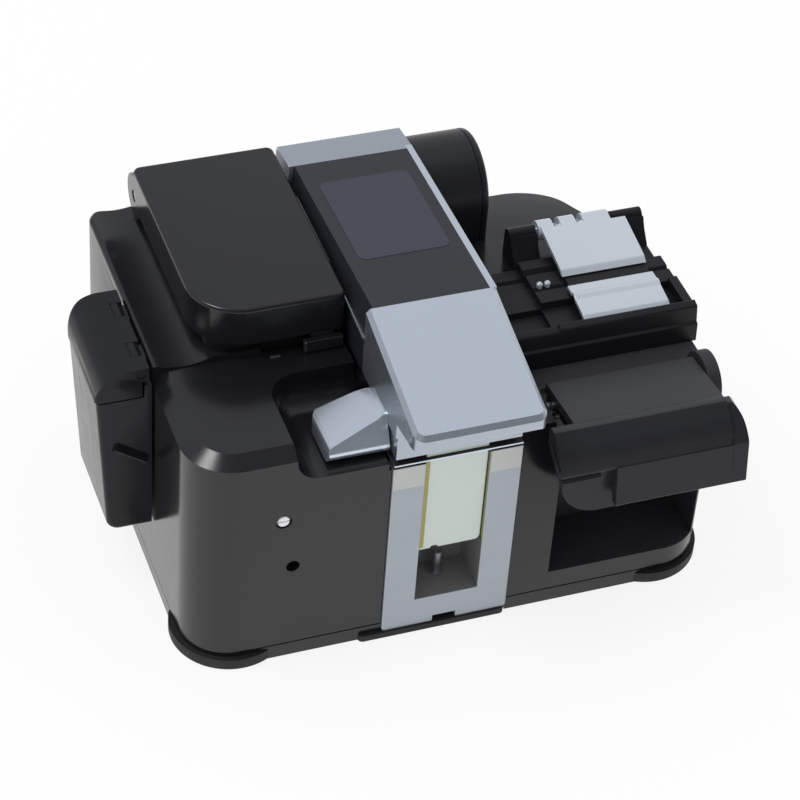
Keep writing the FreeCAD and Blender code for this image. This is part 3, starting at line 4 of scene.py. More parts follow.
import bmesh
import bpy
from bpy.props import FloatProperty, FloatVectorProperty, PointerProperty
from mathutils import Matrix, Vector

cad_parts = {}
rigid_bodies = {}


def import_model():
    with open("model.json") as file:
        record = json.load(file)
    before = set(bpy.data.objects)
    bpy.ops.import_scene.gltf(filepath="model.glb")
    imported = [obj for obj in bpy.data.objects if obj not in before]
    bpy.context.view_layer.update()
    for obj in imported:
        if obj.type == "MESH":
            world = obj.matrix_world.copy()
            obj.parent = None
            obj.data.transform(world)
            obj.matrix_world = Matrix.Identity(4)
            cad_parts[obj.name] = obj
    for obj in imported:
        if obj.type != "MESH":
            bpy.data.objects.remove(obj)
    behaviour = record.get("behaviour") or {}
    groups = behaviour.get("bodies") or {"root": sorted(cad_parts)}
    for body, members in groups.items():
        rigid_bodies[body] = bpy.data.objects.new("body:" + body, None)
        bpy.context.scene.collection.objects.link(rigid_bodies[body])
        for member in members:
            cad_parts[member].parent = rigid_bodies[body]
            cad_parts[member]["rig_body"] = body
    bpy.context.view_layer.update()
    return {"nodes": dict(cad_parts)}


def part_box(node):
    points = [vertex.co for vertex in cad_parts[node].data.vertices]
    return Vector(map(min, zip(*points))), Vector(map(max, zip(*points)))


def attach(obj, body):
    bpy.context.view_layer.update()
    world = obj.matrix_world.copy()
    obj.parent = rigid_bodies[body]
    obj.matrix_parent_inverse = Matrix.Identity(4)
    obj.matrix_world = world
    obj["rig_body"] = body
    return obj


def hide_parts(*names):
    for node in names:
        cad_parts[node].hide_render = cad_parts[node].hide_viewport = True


bl_info = {
    "name": "Fibre Cleaver Finish",
    "version": (1, 0, 0),
    "blender": (4, 5, 0),
    "location": "3D View > Sidebar > Cleaver",
    "description": "Finished surfaces and studio for a bench fibre cleaver",
    "category": "Object",
}

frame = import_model()
nodes = frame["nodes"]
MM = 0.001

# Every measure below is in millimetres and every angle in degrees, unless it says otherwise.

# Edge rounding of the small pieces
LABEL_EDGE = 0.08
PLATE_EDGE = 0.06
PAD_EDGE = 0.04
STRIP_EDGE = 0.03

# Cleaning and rounding of the frame's meshes
WELD_DISTANCE = 0.0005
FLAT_ANGLE = 0.3
SMOOTH_ANGLE = 28
ROUND_ANGLE = 32

# Outline of the casing seen from above: x, y and corner radius
CASE_CORNERS = ((-49.6, -40.0, 9.5), (54.5, -40.0, 9.5), (54.5, -5.0, 15.0), (45.3, 35.3, 11.0),
                (-49.6, 35.3, 3.5))
CORNER_STEPS = 8
# Two corners of the space that holds the pocket under the press lever
POCKET = ((20.0, -39.7, 7.0), (54.0, -25.5, 50.0))

# Skirt round the base: its heights, its distance from the outline, its wall and its gap
SKIRT_LOW = 0.15
SKIRT_HIGH = 3.25
SKIRT_INSET = 0.05
SKIRT_THICK = 0.7
SKIRT_GAP_HALF = 12.55

# Faces of the lever's head with painted shade: two corners and the way the faces look
HEAD_PAINTED_SHADE = (
    ((-13.2, -51.0, 44.0), (-11.9, -21.0, 66.0), (-1.0, 0.0, 0.0)),
    ((-12.7, -51.0, 44.0), (12.7, -40.0, 58.5), (0.0, -1.0, 0.0)),
    ((-12.7, -51.0, 44.0), (-8.0, -44.0, 58.5), (-0.71, -0.71, 0.0)),
    ((8.0, -51.0, 44.0), (12.7, -44.0, 58.5), (0.71, -0.71, 0.0)),
    ((-12.7, -51.0, 50.0), (-11.6, -21.0, 66.0), (-0.7, -0.15, 0.7)),
    ((11.6, -51.0, 50.0), (12.7, -21.0, 66.0), (0.7, -0.15, 0.7)),
)
# Two corners of the space that holds the lever's rear roof, which gets painted shade
LEVER_REAR = ((-13.0, 26.0, 55.0), (13.0, 34.0, 66.0))
# Plate under the head, and the space that holds its top face
HEAD_PLATE = ((-12.4, -40.5, 43.65), (12.4, -35.0, 44.05))
HEAD_PLATE_TOP = ((-13.0, -41.0, 43.0), (13.0, -34.0, 45.0))
# Trims on the lever's left side: name and two ends as y and z
SIDE_TRIMS = (
    ("side_trim_front", (-21.2, 58.35), (-0.4, 60.2)),
    ("side_trim_rear", (-0.5, 60.2), (19.0, 60.3)),
)
TRIM_X = -12.6
TRIM_THICK = 0.22
TRIM_HEIGHT = 0.5
# Strip on the guide block's left front edge: its corners from the block's low corner, and its top
EDGE_STRIP_START = Vector((0.02, -0.04, 0.6))
EDGE_STRIP_END = (0.85, 0.2)
EDGE_STRIP_TOP = 43.4

# Guide plate: gap beside the block, reach of the window's painted shade, skin that it leaves
# in front, band of painted shade on the top face, pads and liners
BLOCK_GAP = 0.2
WINDOW_MARGIN = 0.5
WINDOW_SKIN = 0.4
PLATE_TOP_BAND = (0.3, 0.1)
PAD_NEAR = 0.15
PAD_FAR = 0.08
PAD_PROUD = 0.05
PAD_DEPTH = 0.3
PAD_HEIGHT = 5.2
LINER_OUT = 0.13
LINER_IN = 0.02
LINER_FRONT = 0.25
LINER_REAR = 6.5
LINER_BELOW = 0.2

# Catch of the lid: name, two corners with y from the lid's front, finish, body, edge and slot
CATCH_PARTS = (
    ("lid_catch", (-21.0, -1.1, 51.4), (-13.9, 0.3, 53.8), "satin", "lid", 0.15, "case_black"),
    ("lid_catch_stem", (-19.8, 0.15, 51.8), (-15.4, 1.2, 56.0), "satin", "lid", 0.1, "case_black"),
    ("lid_catch_edge", (-21.3, -1.15, 51.5), (-20.95, 0.2, 53.7), "steel", "lid", 0.05,
     "steel_pin"),
    ("catch_spring", (-27.7, -0.7, 50.8), (-25.8, -0.2, 51.4), "steel", "casing", 0.05,
     "steel_pin"),
)

# Bin cover's hinge lugs: their places as shares of its length
LUG_SHARES = (0.25, 0.75)
# Filler round a lug: its inner radius, its outside, the arc of its inside with the steps of the
# arc, and half the length of the slot that it fills
LUG_REACH = 1.53
LUG_OUTER = 1.95
LUG_SWEEP = 54
LUG_STEPS = 6
LUG_SLOT_HALF = 2.3
# Cheeks at the slot's ends: distances from its middle, right edge and foot, all from the pin
LUG_CHEEK = (2.03, 2.33)
CHEEK_RIGHT = 1.5
CHEEK_LIFT = 0.3
# Gaps under the cover's highest point, above the filler and above its cheeks
ROOF_GAP = 0.04
CHEEK_ROOF_GAP = 0.03

# Top panel of the press lever: its front and its lowest height
PRESS_TOP_FRONT = -43.0
PRESS_TOP_LOW = 40.0

# Surface effects: scales are per metre
BUMP_STRENGTH = 0.35
DRIFT_SCALE = 45.0
MARK_SCALE = 70.0

# Share of plain white that the floor shows to the eye
FLOOR_WHITE = 0.84
# Where the room in reflections turns from dark to light, as Y of the direction
ROOM_FRONT = -0.6
ROOM_REAR = 0.25
# Floor and lamps, in metres
FLOOR_HALF = 2.5
LAMP_AIM = (0.0, 0.0, 0.03)
KEY_PLACE = (-0.36, 0.04, 0.78)
KEY_SIZE = 0.24
FILL_PLACE = (-0.50, -0.60, 0.30)
FILL_SIZE = 0.5

# Camera fitted to the photograph: its angles, the point it turns about, its place from there as
# right, up and back, and its focal length in pixels of the square frame
AZIMUTH = -22.10
ELEVATION = 41.38
ROLL = 4.50
CAMERA_TARGET = (-8.0, -5.0, 28.0)
CAMERA_OFFSET = (9.34, 0.41, 545.75)
FOCAL_PIXELS = 2849.72
FRAME_PIXELS = 800.0
SENSOR_WIDTH = 36.0


# Sizes and colours that a user would change

class CleaverEdges(bpy.types.PropertyGroup):
    """Widths of the rounded edges of each group of pieces."""
    casing: FloatProperty(name="Casing", description="Edge rounding of the moulded casing",
                          default=0.35 * MM, unit="LENGTH")
    lid: FloatProperty(name="Lid", description="Edge rounding of the lid, the bin and its cover",
                       default=0.22 * MM, unit="LENGTH")
    lever: FloatProperty(name="Lever", description="Edge rounding of the silver lever",
                         default=0.3 * MM, unit="LENGTH")
    head: FloatProperty(name="Head", description="Edge rounding of the lever's head and thumb tab",
                        default=0.8 * MM, unit="LENGTH")
    metal: FloatProperty(name="Metal", description="Edge break of machined and sheet metal",
                         default=0.12 * MM, unit="LENGTH")
    press: FloatProperty(name="Press lever", description="Edge rounding of the press lever",
                         default=0.45 * MM, unit="LENGTH")
    rubber: FloatProperty(name="Rubber", description="Edge rounding of the rubber feet",
                          default=0.25 * MM, unit="LENGTH")


def colour(name, description, value):
    return FloatVectorProperty(name=name, description=description, default=value, size=3,
                               subtype="COLOR", min=0.0, max=1.0)


class CleaverColours(bpy.types.PropertyGroup):
    """Base colours of the finishes."""
    casing: colour("Casing", "Glossy black moulding", (0.0085, 0.0088, 0.0105))
    satin: colour("Satin black", "Satin black of the drum and the bin", (0.010, 0.0105, 0.0125))
    pocket: colour("Pocket", "Inside of the pocket under the press lever", (0.022, 0.0215, 0.026))
    press: colour("Press lever", "Black moulding of the press lever", (0.018, 0.0185, 0.023))
    press_top: colour("Press panel", "Satin panel on top of the press lever", (0.030, 0.031, 0.036))
    panel: colour("Lever panel", "Satin black panel on the lever", (0.017, 0.018, 0.024))
    rubber: colour("Rubber", "Feet and pads", (0.010, 0.010, 0.011))
    silver: colour("Silver paint", "Painted lever and head", (0.64, 0.70, 0.79))
    # Painted shade: darker silver for the head's sides and front and the lever's rear roof
    silver_shade: colour("Silver with painted shade", "Sides and front of the head, rear of the lever",
                         (0.43, 0.47, 0.53))
    aluminium: colour("Aluminium", "Machined guide plate", (0.385, 0.415, 0.455))
    sheet: colour("Sheet steel", "Hinged clamp sheets", (0.68, 0.73, 0.80))
    platform: colour("Platform", "Black coated platform", (0.007, 0.0072, 0.0085))
    cream: colour("Guide block", "Cream sliding block", (0.60, 0.66, 0.61))
    pad: colour("Wear pads", "Pale pads at the top of the guide plate", (0.50, 0.515, 0.49))
    # Painted shade inside the guide plate's window
    channel: colour("Channel", "Inside of the guide plate's window", (0.24, 0.235, 0.23))
    plug: colour("Plug", "White plug on the front", (0.80, 0.81, 0.81))
    brass: colour("Brass", "Liners beside the guide block", (0.33, 0.31, 0.13))
    slate: colour("Label", "Bare slate label", (0.034, 0.039, 0.057))
    # Also gives the painted shade on a band of the guide plate's top face
    grey: colour("Base", "Dark painted base plate and roller frame", (0.024, 0.025, 0.028))
    bed: colour("Bed", "Dark grey cutting bed", (0.10, 0.105, 0.115))
    steel: colour("Steel", "Pins and screws", (0.46, 0.47, 0.49))


class CleaverStage(bpy.types.PropertyGroup):
    """Levels of the studio light."""
    sky: FloatProperty(name="Sky", description="Strength of the soft light from all round",
                       default=0.86, min=0.0)
    rear: FloatProperty(name="Rear wall", default=0.62, min=0.0,
                        description="Strength of the rear of the room in reflections")
    front: FloatProperty(name="Front wall", default=0.12, min=0.0,
                         description="Strength of the front of the room in reflections")
    key: FloatProperty(name="Key", description="Power of the large lamp overhead",
                       default=2.0, min=0.0, unit="POWER")
    fill: FloatProperty(name="Fill", description="Power of the lamp at the front left",
                        default=0.12, min=0.0, unit="POWER")


# Effects shared by the materials

def new_group(name, inputs, outputs):
    group = bpy.data.node_groups.new(name, "ShaderNodeTree")
    for label, kind, value in inputs:
        socket = group.interface.new_socket(name=label, in_out="INPUT", socket_type=kind)
        if value is not None:
            socket.default_value = value
    for label, kind in outputs:
        group.interface.new_socket(name=label, in_out="OUTPUT", socket_type=kind)
    return group, group.nodes.new("NodeGroupInput"), group.nodes.new("NodeGroupOutput")


def math_node(tree, operation, first, second):
    node = tree.nodes.new("ShaderNodeMath")
    node.operation = operation
    for socket, value in zip(node.inputs, (first, second)):
        if isinstance(value, (int, float)):
            socket.default_value = value
        else:
            tree.links.new(value, socket)
    return node.outputs[0]


def grain_group():
    """Fine moulded or sprayed grain, as a height from 0 to 1."""
    tree, given, out = new_group(
        "Fine grain",
        [("Vector", "NodeSocketVector", None), ("Scale", "NodeSocketFloat", 3000.0),
         ("Stretch", "NodeSocketVector", (1.0, 1.0, 1.0))],
        [("Height", "NodeSocketFloat")])
    stretch = tree.nodes.new("ShaderNodeVectorMath")
    stretch.operation = "MULTIPLY"
    tree.links.new(given.outputs["Vector"], stretch.inputs[0])
    tree.links.new(given.outputs["Stretch"], stretch.inputs[1])
    fine = tree.nodes.new("ShaderNodeTexNoise")
    fine.inputs["Detail"].default_value = 3.0
    fine.inputs["Roughness"].default_value = 0.6
    tree.links.new(stretch.outputs[0], fine.inputs["Vector"])
    tree.links.new(given.outputs["Scale"], fine.inputs["Scale"])
    tree.links.new(fine.outputs["Fac"], out.inputs["Height"])
    return tree


def drift_group():
    """Slow change of tone over a surface."""
    tree, given, out = new_group(
        "Tone drift",
        [("Vector", "NodeSocketVector", None), ("Colour", "NodeSocketColor", (0.5, 0.5, 0.5, 1.0)),
         ("Amount", "NodeSocketFloat", 0.1), ("Scale", "NodeSocketFloat", 40.0)],
        [("Colour", "NodeSocketColor")])
    slow = tree.nodes.new("ShaderNodeTexNoise")
    slow.inputs["Detail"].default_value = 4.0
    tree.links.new(given.outputs["Vector"], slow.inputs["Vector"])
    tree.links.new(given.outputs["Scale"], slow.inputs["Scale"])
    centred = math_node(tree, "SUBTRACT", slow.outputs["Fac"], 0.5)
    scaled = math_node(tree, "MULTIPLY", centred, given.outputs["Amount"])
    factor = math_node(tree, "ADD", scaled, 1.0)
    tint = tree.nodes.new("ShaderNodeVectorMath")
    tint.operation = "SCALE"
    tree.links.new(given.outputs["Colour"], tint.inputs[0])
    tree.links.new(factor, tint.inputs["Scale"])
    tree.links.new(tint.outputs[0], out.inputs["Colour"])
    return tree


def scuff_group():
    """Faint handling marks: a base roughness, raised along the streaks of a stretched noise."""
    tree, given, out = new_group(
        "Handling marks",
        [("Vector", "NodeSocketVector", None), ("Scale", "NodeSocketFloat", 60.0),
         ("Base", "NodeSocketFloat", 0.3), ("Spread", "NodeSocketFloat", 0.1)],
        [("Roughness", "NodeSocketFloat")])
    stretch = tree.nodes.new("ShaderNodeMapping")
    stretch.inputs["Scale"].default_value = (1.0, 5.0, 3.0)
    stretch.inputs["Rotation"].default_value = (0.3, 0.2, 0.7)
    tree.links.new(given.outputs["Vector"], stretch.inputs["Vector"])
    streak = tree.nodes.new("ShaderNodeTexNoise")
    streak.inputs["Detail"].default_value = 5.0
    streak.inputs["Roughness"].default_value = 0.7
    tree.links.new(stretch.outputs[0], streak.inputs["Vector"])
    tree.links.new(given.outputs["Scale"], streak.inputs["Scale"])
    ramp = tree.nodes.new("ShaderNodeMapRange")
    ramp.inputs["From Min"].default_value = 0.35
    ramp.inputs["From Max"].default_value = 0.75
    tree.links.new(streak.outputs["Fac"], ramp.inputs["Value"])
    spread = math_node(tree, "MULTIPLY", ramp.outputs[0], given.outputs["Spread"])
    total = math_node(tree, "ADD", given.outputs["Base"], spread)
    tree.links.new(total, out.inputs["Roughness"])
    return tree


groups = {}


def effect(tree, name, maker):
    if name not in groups:
        groups[name] = maker()
    node = tree.nodes.new("ShaderNodeGroup")
    node.node_tree = groups[name]
    return node


def finish_material(name, base, metallic=0.0, roughness=0.35, spread=0.08, drift=0.12,
                    grain_scale=2600.0, grain_depth=0.02, stretch=(1, 1, 1), coat=0.0,
                    coat_roughness=0.1, specular=0.5):
    """Principled finish with grain, slow tone drift and faint handling marks."""
    material = bpy.data.materials.new(name)
    material.use_nodes = True
    tree = material.node_tree
    shader = tree.nodes["Principled BSDF"]
    place = tree.nodes.new("ShaderNodeTexCoord").outputs["Object"]

    tone = effect(tree, "drift", drift_group)
    tree.links.new(place, tone.inputs["Vector"])
    tone.inputs["Colour"].default_value = (*base, 1.0)
    tone.inputs["Amount"].default_value = drift
    tone.inputs["Scale"].default_value = DRIFT_SCALE
    tree.links.new(tone.outputs["Colour"], shader.inputs["Base Color"])

    marks = effect(tree, "scuff", scuff_group)
    tree.links.new(place, marks.inputs["Vector"])
    marks.inputs["Scale"].default_value = MARK_SCALE
    marks.inputs["Base"].default_value = roughness
    marks.inputs["Spread"].default_value = spread
    tree.links.new(marks.outputs["Roughness"], shader.inputs["Roughness"])

    grain = effect(tree, "grain", grain_group)
    tree.links.new(place, grain.inputs["Vector"])
    grain.inputs["Scale"].default_value = grain_scale
    grain.inputs["Stretch"].default_value = stretch
    bump = tree.nodes.new("ShaderNodeBump")
    bump.inputs["Strength"].default_value = BUMP_STRENGTH
    bump.inputs["Distance"].default_value = grain_depth * MM
    tree.links.new(grain.outputs["Height"], bump.inputs["Height"])
    tree.links.new(bump.outputs["Normal"], shader.inputs["Normal"])

    shader.inputs["Metallic"].default_value = metallic
    shader.inputs["Specular IOR Level"].default_value = specular
    shader.inputs["Coat Weight"].default_value = coat
    shader.inputs["Coat Roughness"].default_value = coat_roughness
    return material


finishes = {}


def make_finishes(c):
    finishes.update({
        "casing": finish_material("Glossy black moulding", c.casing, roughness=0.17, spread=0.07,
                                  grain_depth=0.006, grain_scale=900.0),
        "satin": finish_material("Satin black moulding", c.satin, roughness=0.34, spread=0.08,
                                 specular=0.42, grain_depth=0.012, grain_scale=1600.0),
        "bin": finish_material("Black bin moulding", c.satin, roughness=0.20, spread=0.08,
                               specular=0.22, grain_depth=0.008, grain_scale=1100.0),
        "pocket": finish_material("Unpolished pocket moulding", c.pocket, roughness=0.5, spread=0.1,
                                  grain_depth=0.03, grain_scale=1800.0),
        "press": finish_material("Black press lever moulding", c.press, roughness=0.24, spread=0.08,
                                 specular=0.22, grain_depth=0.008, grain_scale=1100.0),
        "press_top": finish_material("Satin press panel", c.press_top, roughness=0.42, spread=0.06,
                                     grain_depth=0.02, grain_scale=2200.0),
        "panel": finish_material("Satin black panel", c.panel, roughness=0.40, spread=0.06,
                                 grain_depth=0.02, grain_scale=2400.0),
        "rubber": finish_material("Moulded rubber", c.rubber, roughness=0.62, spread=0.12,
                                  grain_depth=0.04, grain_scale=1400.0),
        "silver": finish_material("Silver paint", c.silver, metallic=0.85, roughness=0.22,
                                  spread=0.06, drift=0.05, grain_depth=0.015, grain_scale=3600.0,
                                  coat=0.5, coat_roughness=0.10),
        # Painted shade: the silver paint made darker for the faces that stand in shade
        "silver_shade": finish_material("Silver paint with painted shade", c.silver_shade, metallic=0.85,
                                        roughness=0.26, spread=0.06, drift=0.05, grain_depth=0.015,
                                        grain_scale=3600.0, coat=0.3, coat_roughness=0.12),
        "aluminium": finish_material("Machined aluminium", c.aluminium, metallic=0.45,
                                     roughness=0.38, spread=0.10, drift=0.08, grain_depth=0.02,
                                     grain_scale=900.0, stretch=(1.0, 1.0, 0.05)),
        "sheet": finish_material("Satin sheet steel", c.sheet, metallic=0.60, roughness=0.30,
                                 spread=0.10, drift=0.06, grain_depth=0.012, grain_scale=1500.0,
                                 stretch=(0.06, 1.0, 1.0)),
        "platform": finish_material("Black coated metal", c.platform, roughness=0.36, spread=0.10,
                                    specular=0.30, grain_depth=0.02, grain_scale=2600.0),
        "cream": finish_material("Cream sliding plastic", c.cream, roughness=0.46, spread=0.06,
                                 drift=0.05, grain_depth=0.015, grain_scale=2000.0),
        "pad": finish_material("Pale wear pad", c.pad, metallic=0.3, roughness=0.42, spread=0.08,
                               drift=0.10, grain_depth=0.012, grain_scale=1500.0),
        "channel": finish_material("Shaded channel metal", c.channel, metallic=0.4, roughness=0.42,
                                   spread=0.10, grain_depth=0.02, grain_scale=900.0,
                                   stretch=(1.0, 1.0, 0.05)),
        "plug": finish_material("White plug", c.plug, roughness=0.45, spread=0.06, drift=0.03,
                                grain_depth=0.01, grain_scale=1800.0),
        "brass": finish_material("Brass liner", c.brass, metallic=0.9, roughness=0.34, spread=0.1,
                                 grain_depth=0.01, grain_scale=1500.0),
        "slate": finish_material("Bare slate label", c.slate, roughness=0.48, spread=0.06,
                                 drift=0.06, grain_depth=0.02, grain_scale=3200.0),
        "grey": finish_material("Dark base paint and painted shade", c.grey, metallic=0.2, roughness=0.5,
                                grain_depth=0.03, grain_scale=2200.0),
        "bed": finish_material("Dark bed metal", c.bed, metallic=0.5, roughness=0.42, spread=0.12,
                               grain_depth=0.02, grain_scale=1000.0, stretch=(0.08, 1.0, 1.0)),
        "steel": finish_material("Ground steel", c.steel, metallic=1.0, roughness=0.26, spread=0.14,
                                 grain_depth=0.01, grain_scale=1200.0, stretch=(1.0, 0.1, 1.0)),
    })


# Pieces made from the frame's nodes

def paint(obj, finish):
    obj.data.materials.clear()
    obj.data.materials.append(finishes[finish])
    return obj


def clean_copy(node):
    """The node's shape as one joined mesh, its flat areas freed of their inner edges."""
    source = nodes[node]
    mesh = source.data.copy()
    mesh.name = node + "_finished"
    bm = bmesh.new()
    bm.from_mesh(mesh)
    bmesh.ops.remove_doubles(bm, verts=bm.verts, dist=WELD_DISTANCE * MM)
    bmesh.ops.dissolve_limit(bm, angle_limit=math.radians(FLAT_ANGLE), verts=bm.verts,
                             edges=bm.edges, use_dissolve_boundaries=False, delimit=set())
    crease = math.radians(SMOOTH_ANGLE)
    for edge in bm.edges:
        edge.smooth = not (edge.is_manifold and edge.calc_face_angle(0.0) > crease)
    for face in bm.faces:
        face.smooth = True
    bm.to_mesh(mesh)
    bm.free()
    obj = bpy.data.objects.new(node + "_finished", mesh)
    bpy.context.scene.collection.objects.link(obj)
    return obj


def crisp(node, finish, width, segments=3):
    """Stands a rounded-edge copy in for a node, on the same body."""
    obj = clean_copy(node)
    paint(obj, finish)
    bevel = obj.modifiers.new("Rounded edges", "BEVEL")
    bevel.width = width
    bevel.segments = segments
    bevel.limit_method = "ANGLE"
    bevel.angle_limit = math.radians(ROUND_ANGLE)
    bevel.profile = 0.5
    bevel.use_clamp_overlap = True
    bevel.harden_normals = True
    bevel.miter_outer = "MITER_ARC"
    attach(obj, nodes[node]["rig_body"])
    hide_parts(node)
    return obj


def repaint(obj, low, high, finish, facing=(0.0, 0.0, 0.0), least=-1.0):
    """Gives a finish of their own to the faces that lie between two corners and face a way."""
    obj.data.materials.append(finishes[finish])
    slot = len(obj.data.materials) - 1
    for face in obj.data.polygons:
        middle = face.center / MM
        inside = all(low[i] <= middle[i] <= high[i] for i in range(3))
        if inside and face.normal.dot(Vector(facing)) >= least:
            face.material_index = slot


def place_mesh(name, bm, finish, body):
    """Ends a new piece: its mesh, its object, its finish and the body that it rides on."""
    bmesh.ops.recalc_face_normals(bm, faces=bm.faces)
    mesh = bpy.data.meshes.new(name)
    bm.to_mesh(mesh)
    bm.free()
    obj = bpy.data.objects.new(name, mesh)
    bpy.context.scene.collection.objects.link(obj)
    paint(obj, finish)
    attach(obj, body)
    return obj


def plain_block(name, low, high, finish, body, width, slot=None):
    """Small block between two corners, with softened edges."""
    low = Vector(low)
    high = Vector(high)
    bm = bmesh.new()
    bmesh.ops.create_cube(bm, size=1.0)
    bmesh.ops.scale(bm, vec=(high - low) * MM, verts=bm.verts)
    bmesh.ops.translate(bm, vec=(low + high) / 2 * MM, verts=bm.verts)
    bmesh.ops.bevel(bm, geom=bm.edges[:], offset=width * MM, segments=2, profile=0.5,
                    affect="EDGES", material=-1, clamp_overlap=True)
    return place_mesh(name, bm, finish, body)


def box_mm(node):
    """The two corners of a node's box."""
    low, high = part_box(node)
    return low / MM, high / MM


def edges():
    return bpy.context.scene.cleaver_edges


class CLEAVER_OT_finishes(bpy.types.Operator):
    """Make the materials of the cleaver"""
    bl_idname = "cleaver.finishes"
    bl_label = "Make finishes"

    def execute(self, context):
        make_finishes(context.scene.cleaver_colours)
        return {"FINISHED"}


def inset_middle(bm, width):
    """Insets the one face of a flat mesh and returns the face that is left in the middle."""
    bmesh.ops.inset_region(bm, faces=bm.faces[:], thickness=width * MM, use_boundary=True,
                           use_even_offset=True)
    return max(bm.faces, key=lambda face: face.calc_area())


def base_skirt():
    """Thin skirt round the base under the casing, open behind the guide plate."""
    bm = bmesh.new()
    verts = [bm.verts.new((x * MM, y * MM, SKIRT_LOW * MM)) for x, y, _ in CASE_CORNERS]
    bm.faces.new(verts)
    for vert, (_, _, radius) in zip(verts, CASE_CORNERS):
        first, second = [(edge.other_vert(vert).co - vert.co) for edge in vert.link_edges]
        run = radius * MM / math.tan(first.angle(second) / 2)
        bmesh.ops.bevel(bm, geom=[vert], offset=run, offset_type="OFFSET", segments=CORNER_STEPS,
                        profile=0.5, affect="VERTICES", material=-1)
    middle = inset_middle(bm, SKIRT_INSET)
    bmesh.ops.delete(bm, geom=[face for face in bm.faces if face != middle], context="FACES")
    bmesh.ops.delete(bm, geom=[inset_middle(bm, SKIRT_THICK)], context="FACES")
    for side in (-1, 1):
        bmesh.ops.bisect_plane(bm, geom=bm.verts[:] + bm.edges[:] + bm.faces[:], dist=1e-7,
                               plane_co=(side * SKIRT_GAP_HALF * MM, 0, 0), plane_no=(1, 0, 0))
    middles = {face: face.calc_center_median() for face in bm.faces}
    front = [face for face, middle in middles.items()
             if abs(middle.x) < SKIRT_GAP_HALF * MM and middle.y < 0]
    bmesh.ops.delete(bm, geom=front, context="FACES")
    raised = bmesh.ops.extrude_face_region(bm, geom=bm.faces[:], use_keep_orig=True)
    top = [item for item in raised["geom"] if isinstance(item, bmesh.types.BMVert)]
    bmesh.ops.translate(bm, vec=(0, 0, (SKIRT_HIGH - SKIRT_LOW) * MM), verts=top)
    return place_mesh("base_skirt", bm, "casing", "casing")


class CLEAVER_OT_casing(bpy.types.Operator):
    """Finish the casing, its base and its feet"""
    bl_idname = "cleaver.casing"
    bl_label = "Casing"

    def execute(self, context):
        e = edges()
        front = crisp("front_case", "casing", e.casing)
        repaint(front, *POCKET, "pocket")
        base_skirt()
        crisp("rear_case", "casing", e.casing)
        crisp("hinge_drum", "satin", e.casing)
        paint(nodes["drum_cap"], "satin")
        crisp("base_plate", "grey", e.metal)
        for corner in ("front_left", "front_right", "rear_left", "rear_right"):
            crisp("foot_" + corner, "rubber", e.rubber)
        crisp("centre_pad", "rubber", e.rubber)
        paint(nodes["front_plug"], "plug")
        for name in ("base_screws", "lever_pin", "lever_spring"):
            paint(nodes[name], "steel")
        return {"FINISHED"}


def side_strip(name, start, end):
    """Thin silver trim along the lever's left side, between two ends given as y and z."""
    run = Vector(end) - Vector(start)
    middle = (Vector(end) + Vector(start)) / 2
    bm = bmesh.new()
    bmesh.ops.create_cube(bm, size=1.0)
    bmesh.ops.scale(bm, vec=Vector((TRIM_THICK, run.length, TRIM_HEIGHT)) * MM, verts=bm.verts)
    bmesh.ops.rotate(bm, cent=(0, 0, 0), verts=bm.verts,
                     matrix=Matrix.Rotation(math.atan2(run.y, run.x), 3, "X"))
    bmesh.ops.translate(bm, vec=Vector((TRIM_X, middle.x, middle.y)) * MM, verts=bm.verts)
    return place_mesh(name, bm, "silver", "lever")


class CLEAVER_OT_lever(bpy.types.Operator):
    """Finish the lever, its panel, label, head and guide block"""
    bl_idname = "cleaver.lever"
    bl_label = "Lever"

    def execute(self, context):
        e = edges()
        lever = crisp("lever_frame", "silver", e.lever)
        # Painted shade on the lever's rear roof
        repaint(lever, *LEVER_REAR, "silver_shade", facing=(0, 0, 1), least=0.8)
        head = crisp("lever_head", "silver", e.head)
        # Painted shade on the head's sides, front, front corners and side chamfers
        for low, high, facing in HEAD_PAINTED_SHADE:
            repaint(head, low, high, "silver_shade", facing=facing, least=0.9)
        plate = plain_block("head_plate", *HEAD_PLATE, "silver", "lever", PLATE_EDGE,
                            slot="lever_silver")
        repaint(plate, *HEAD_PLATE_TOP, "rubber", facing=(0, 0, 1), least=0.9)
        for name, start, end in SIDE_TRIMS:
            side_strip(name, start, end)
        crisp("lever_panel", "panel", e.lever)
        crisp("label_plate", "slate", LABEL_EDGE * MM, segments=2)
        block = crisp("guide_block", "cream", e.lever)
        low, high = box_mm("guide_block")
        for side in (-1, 1):
            repaint(block, low, high, "brass", facing=(side, 0, 0), least=0.9)
        across, deep = EDGE_STRIP_END
        plain_block("block_edge_strip", low + EDGE_STRIP_START,
                    (low.x + across, low.y + deep, EDGE_STRIP_TOP), "brass", "lever", STRIP_EDGE)
        crisp("anvil", "rubber", e.metal)
        crisp("upper_clamp", "bed", e.metal)
        paint(nodes["upper_pads"], "rubber")
        paint(nodes["clamp_pins"], "steel")
        return {"FINISHED"}


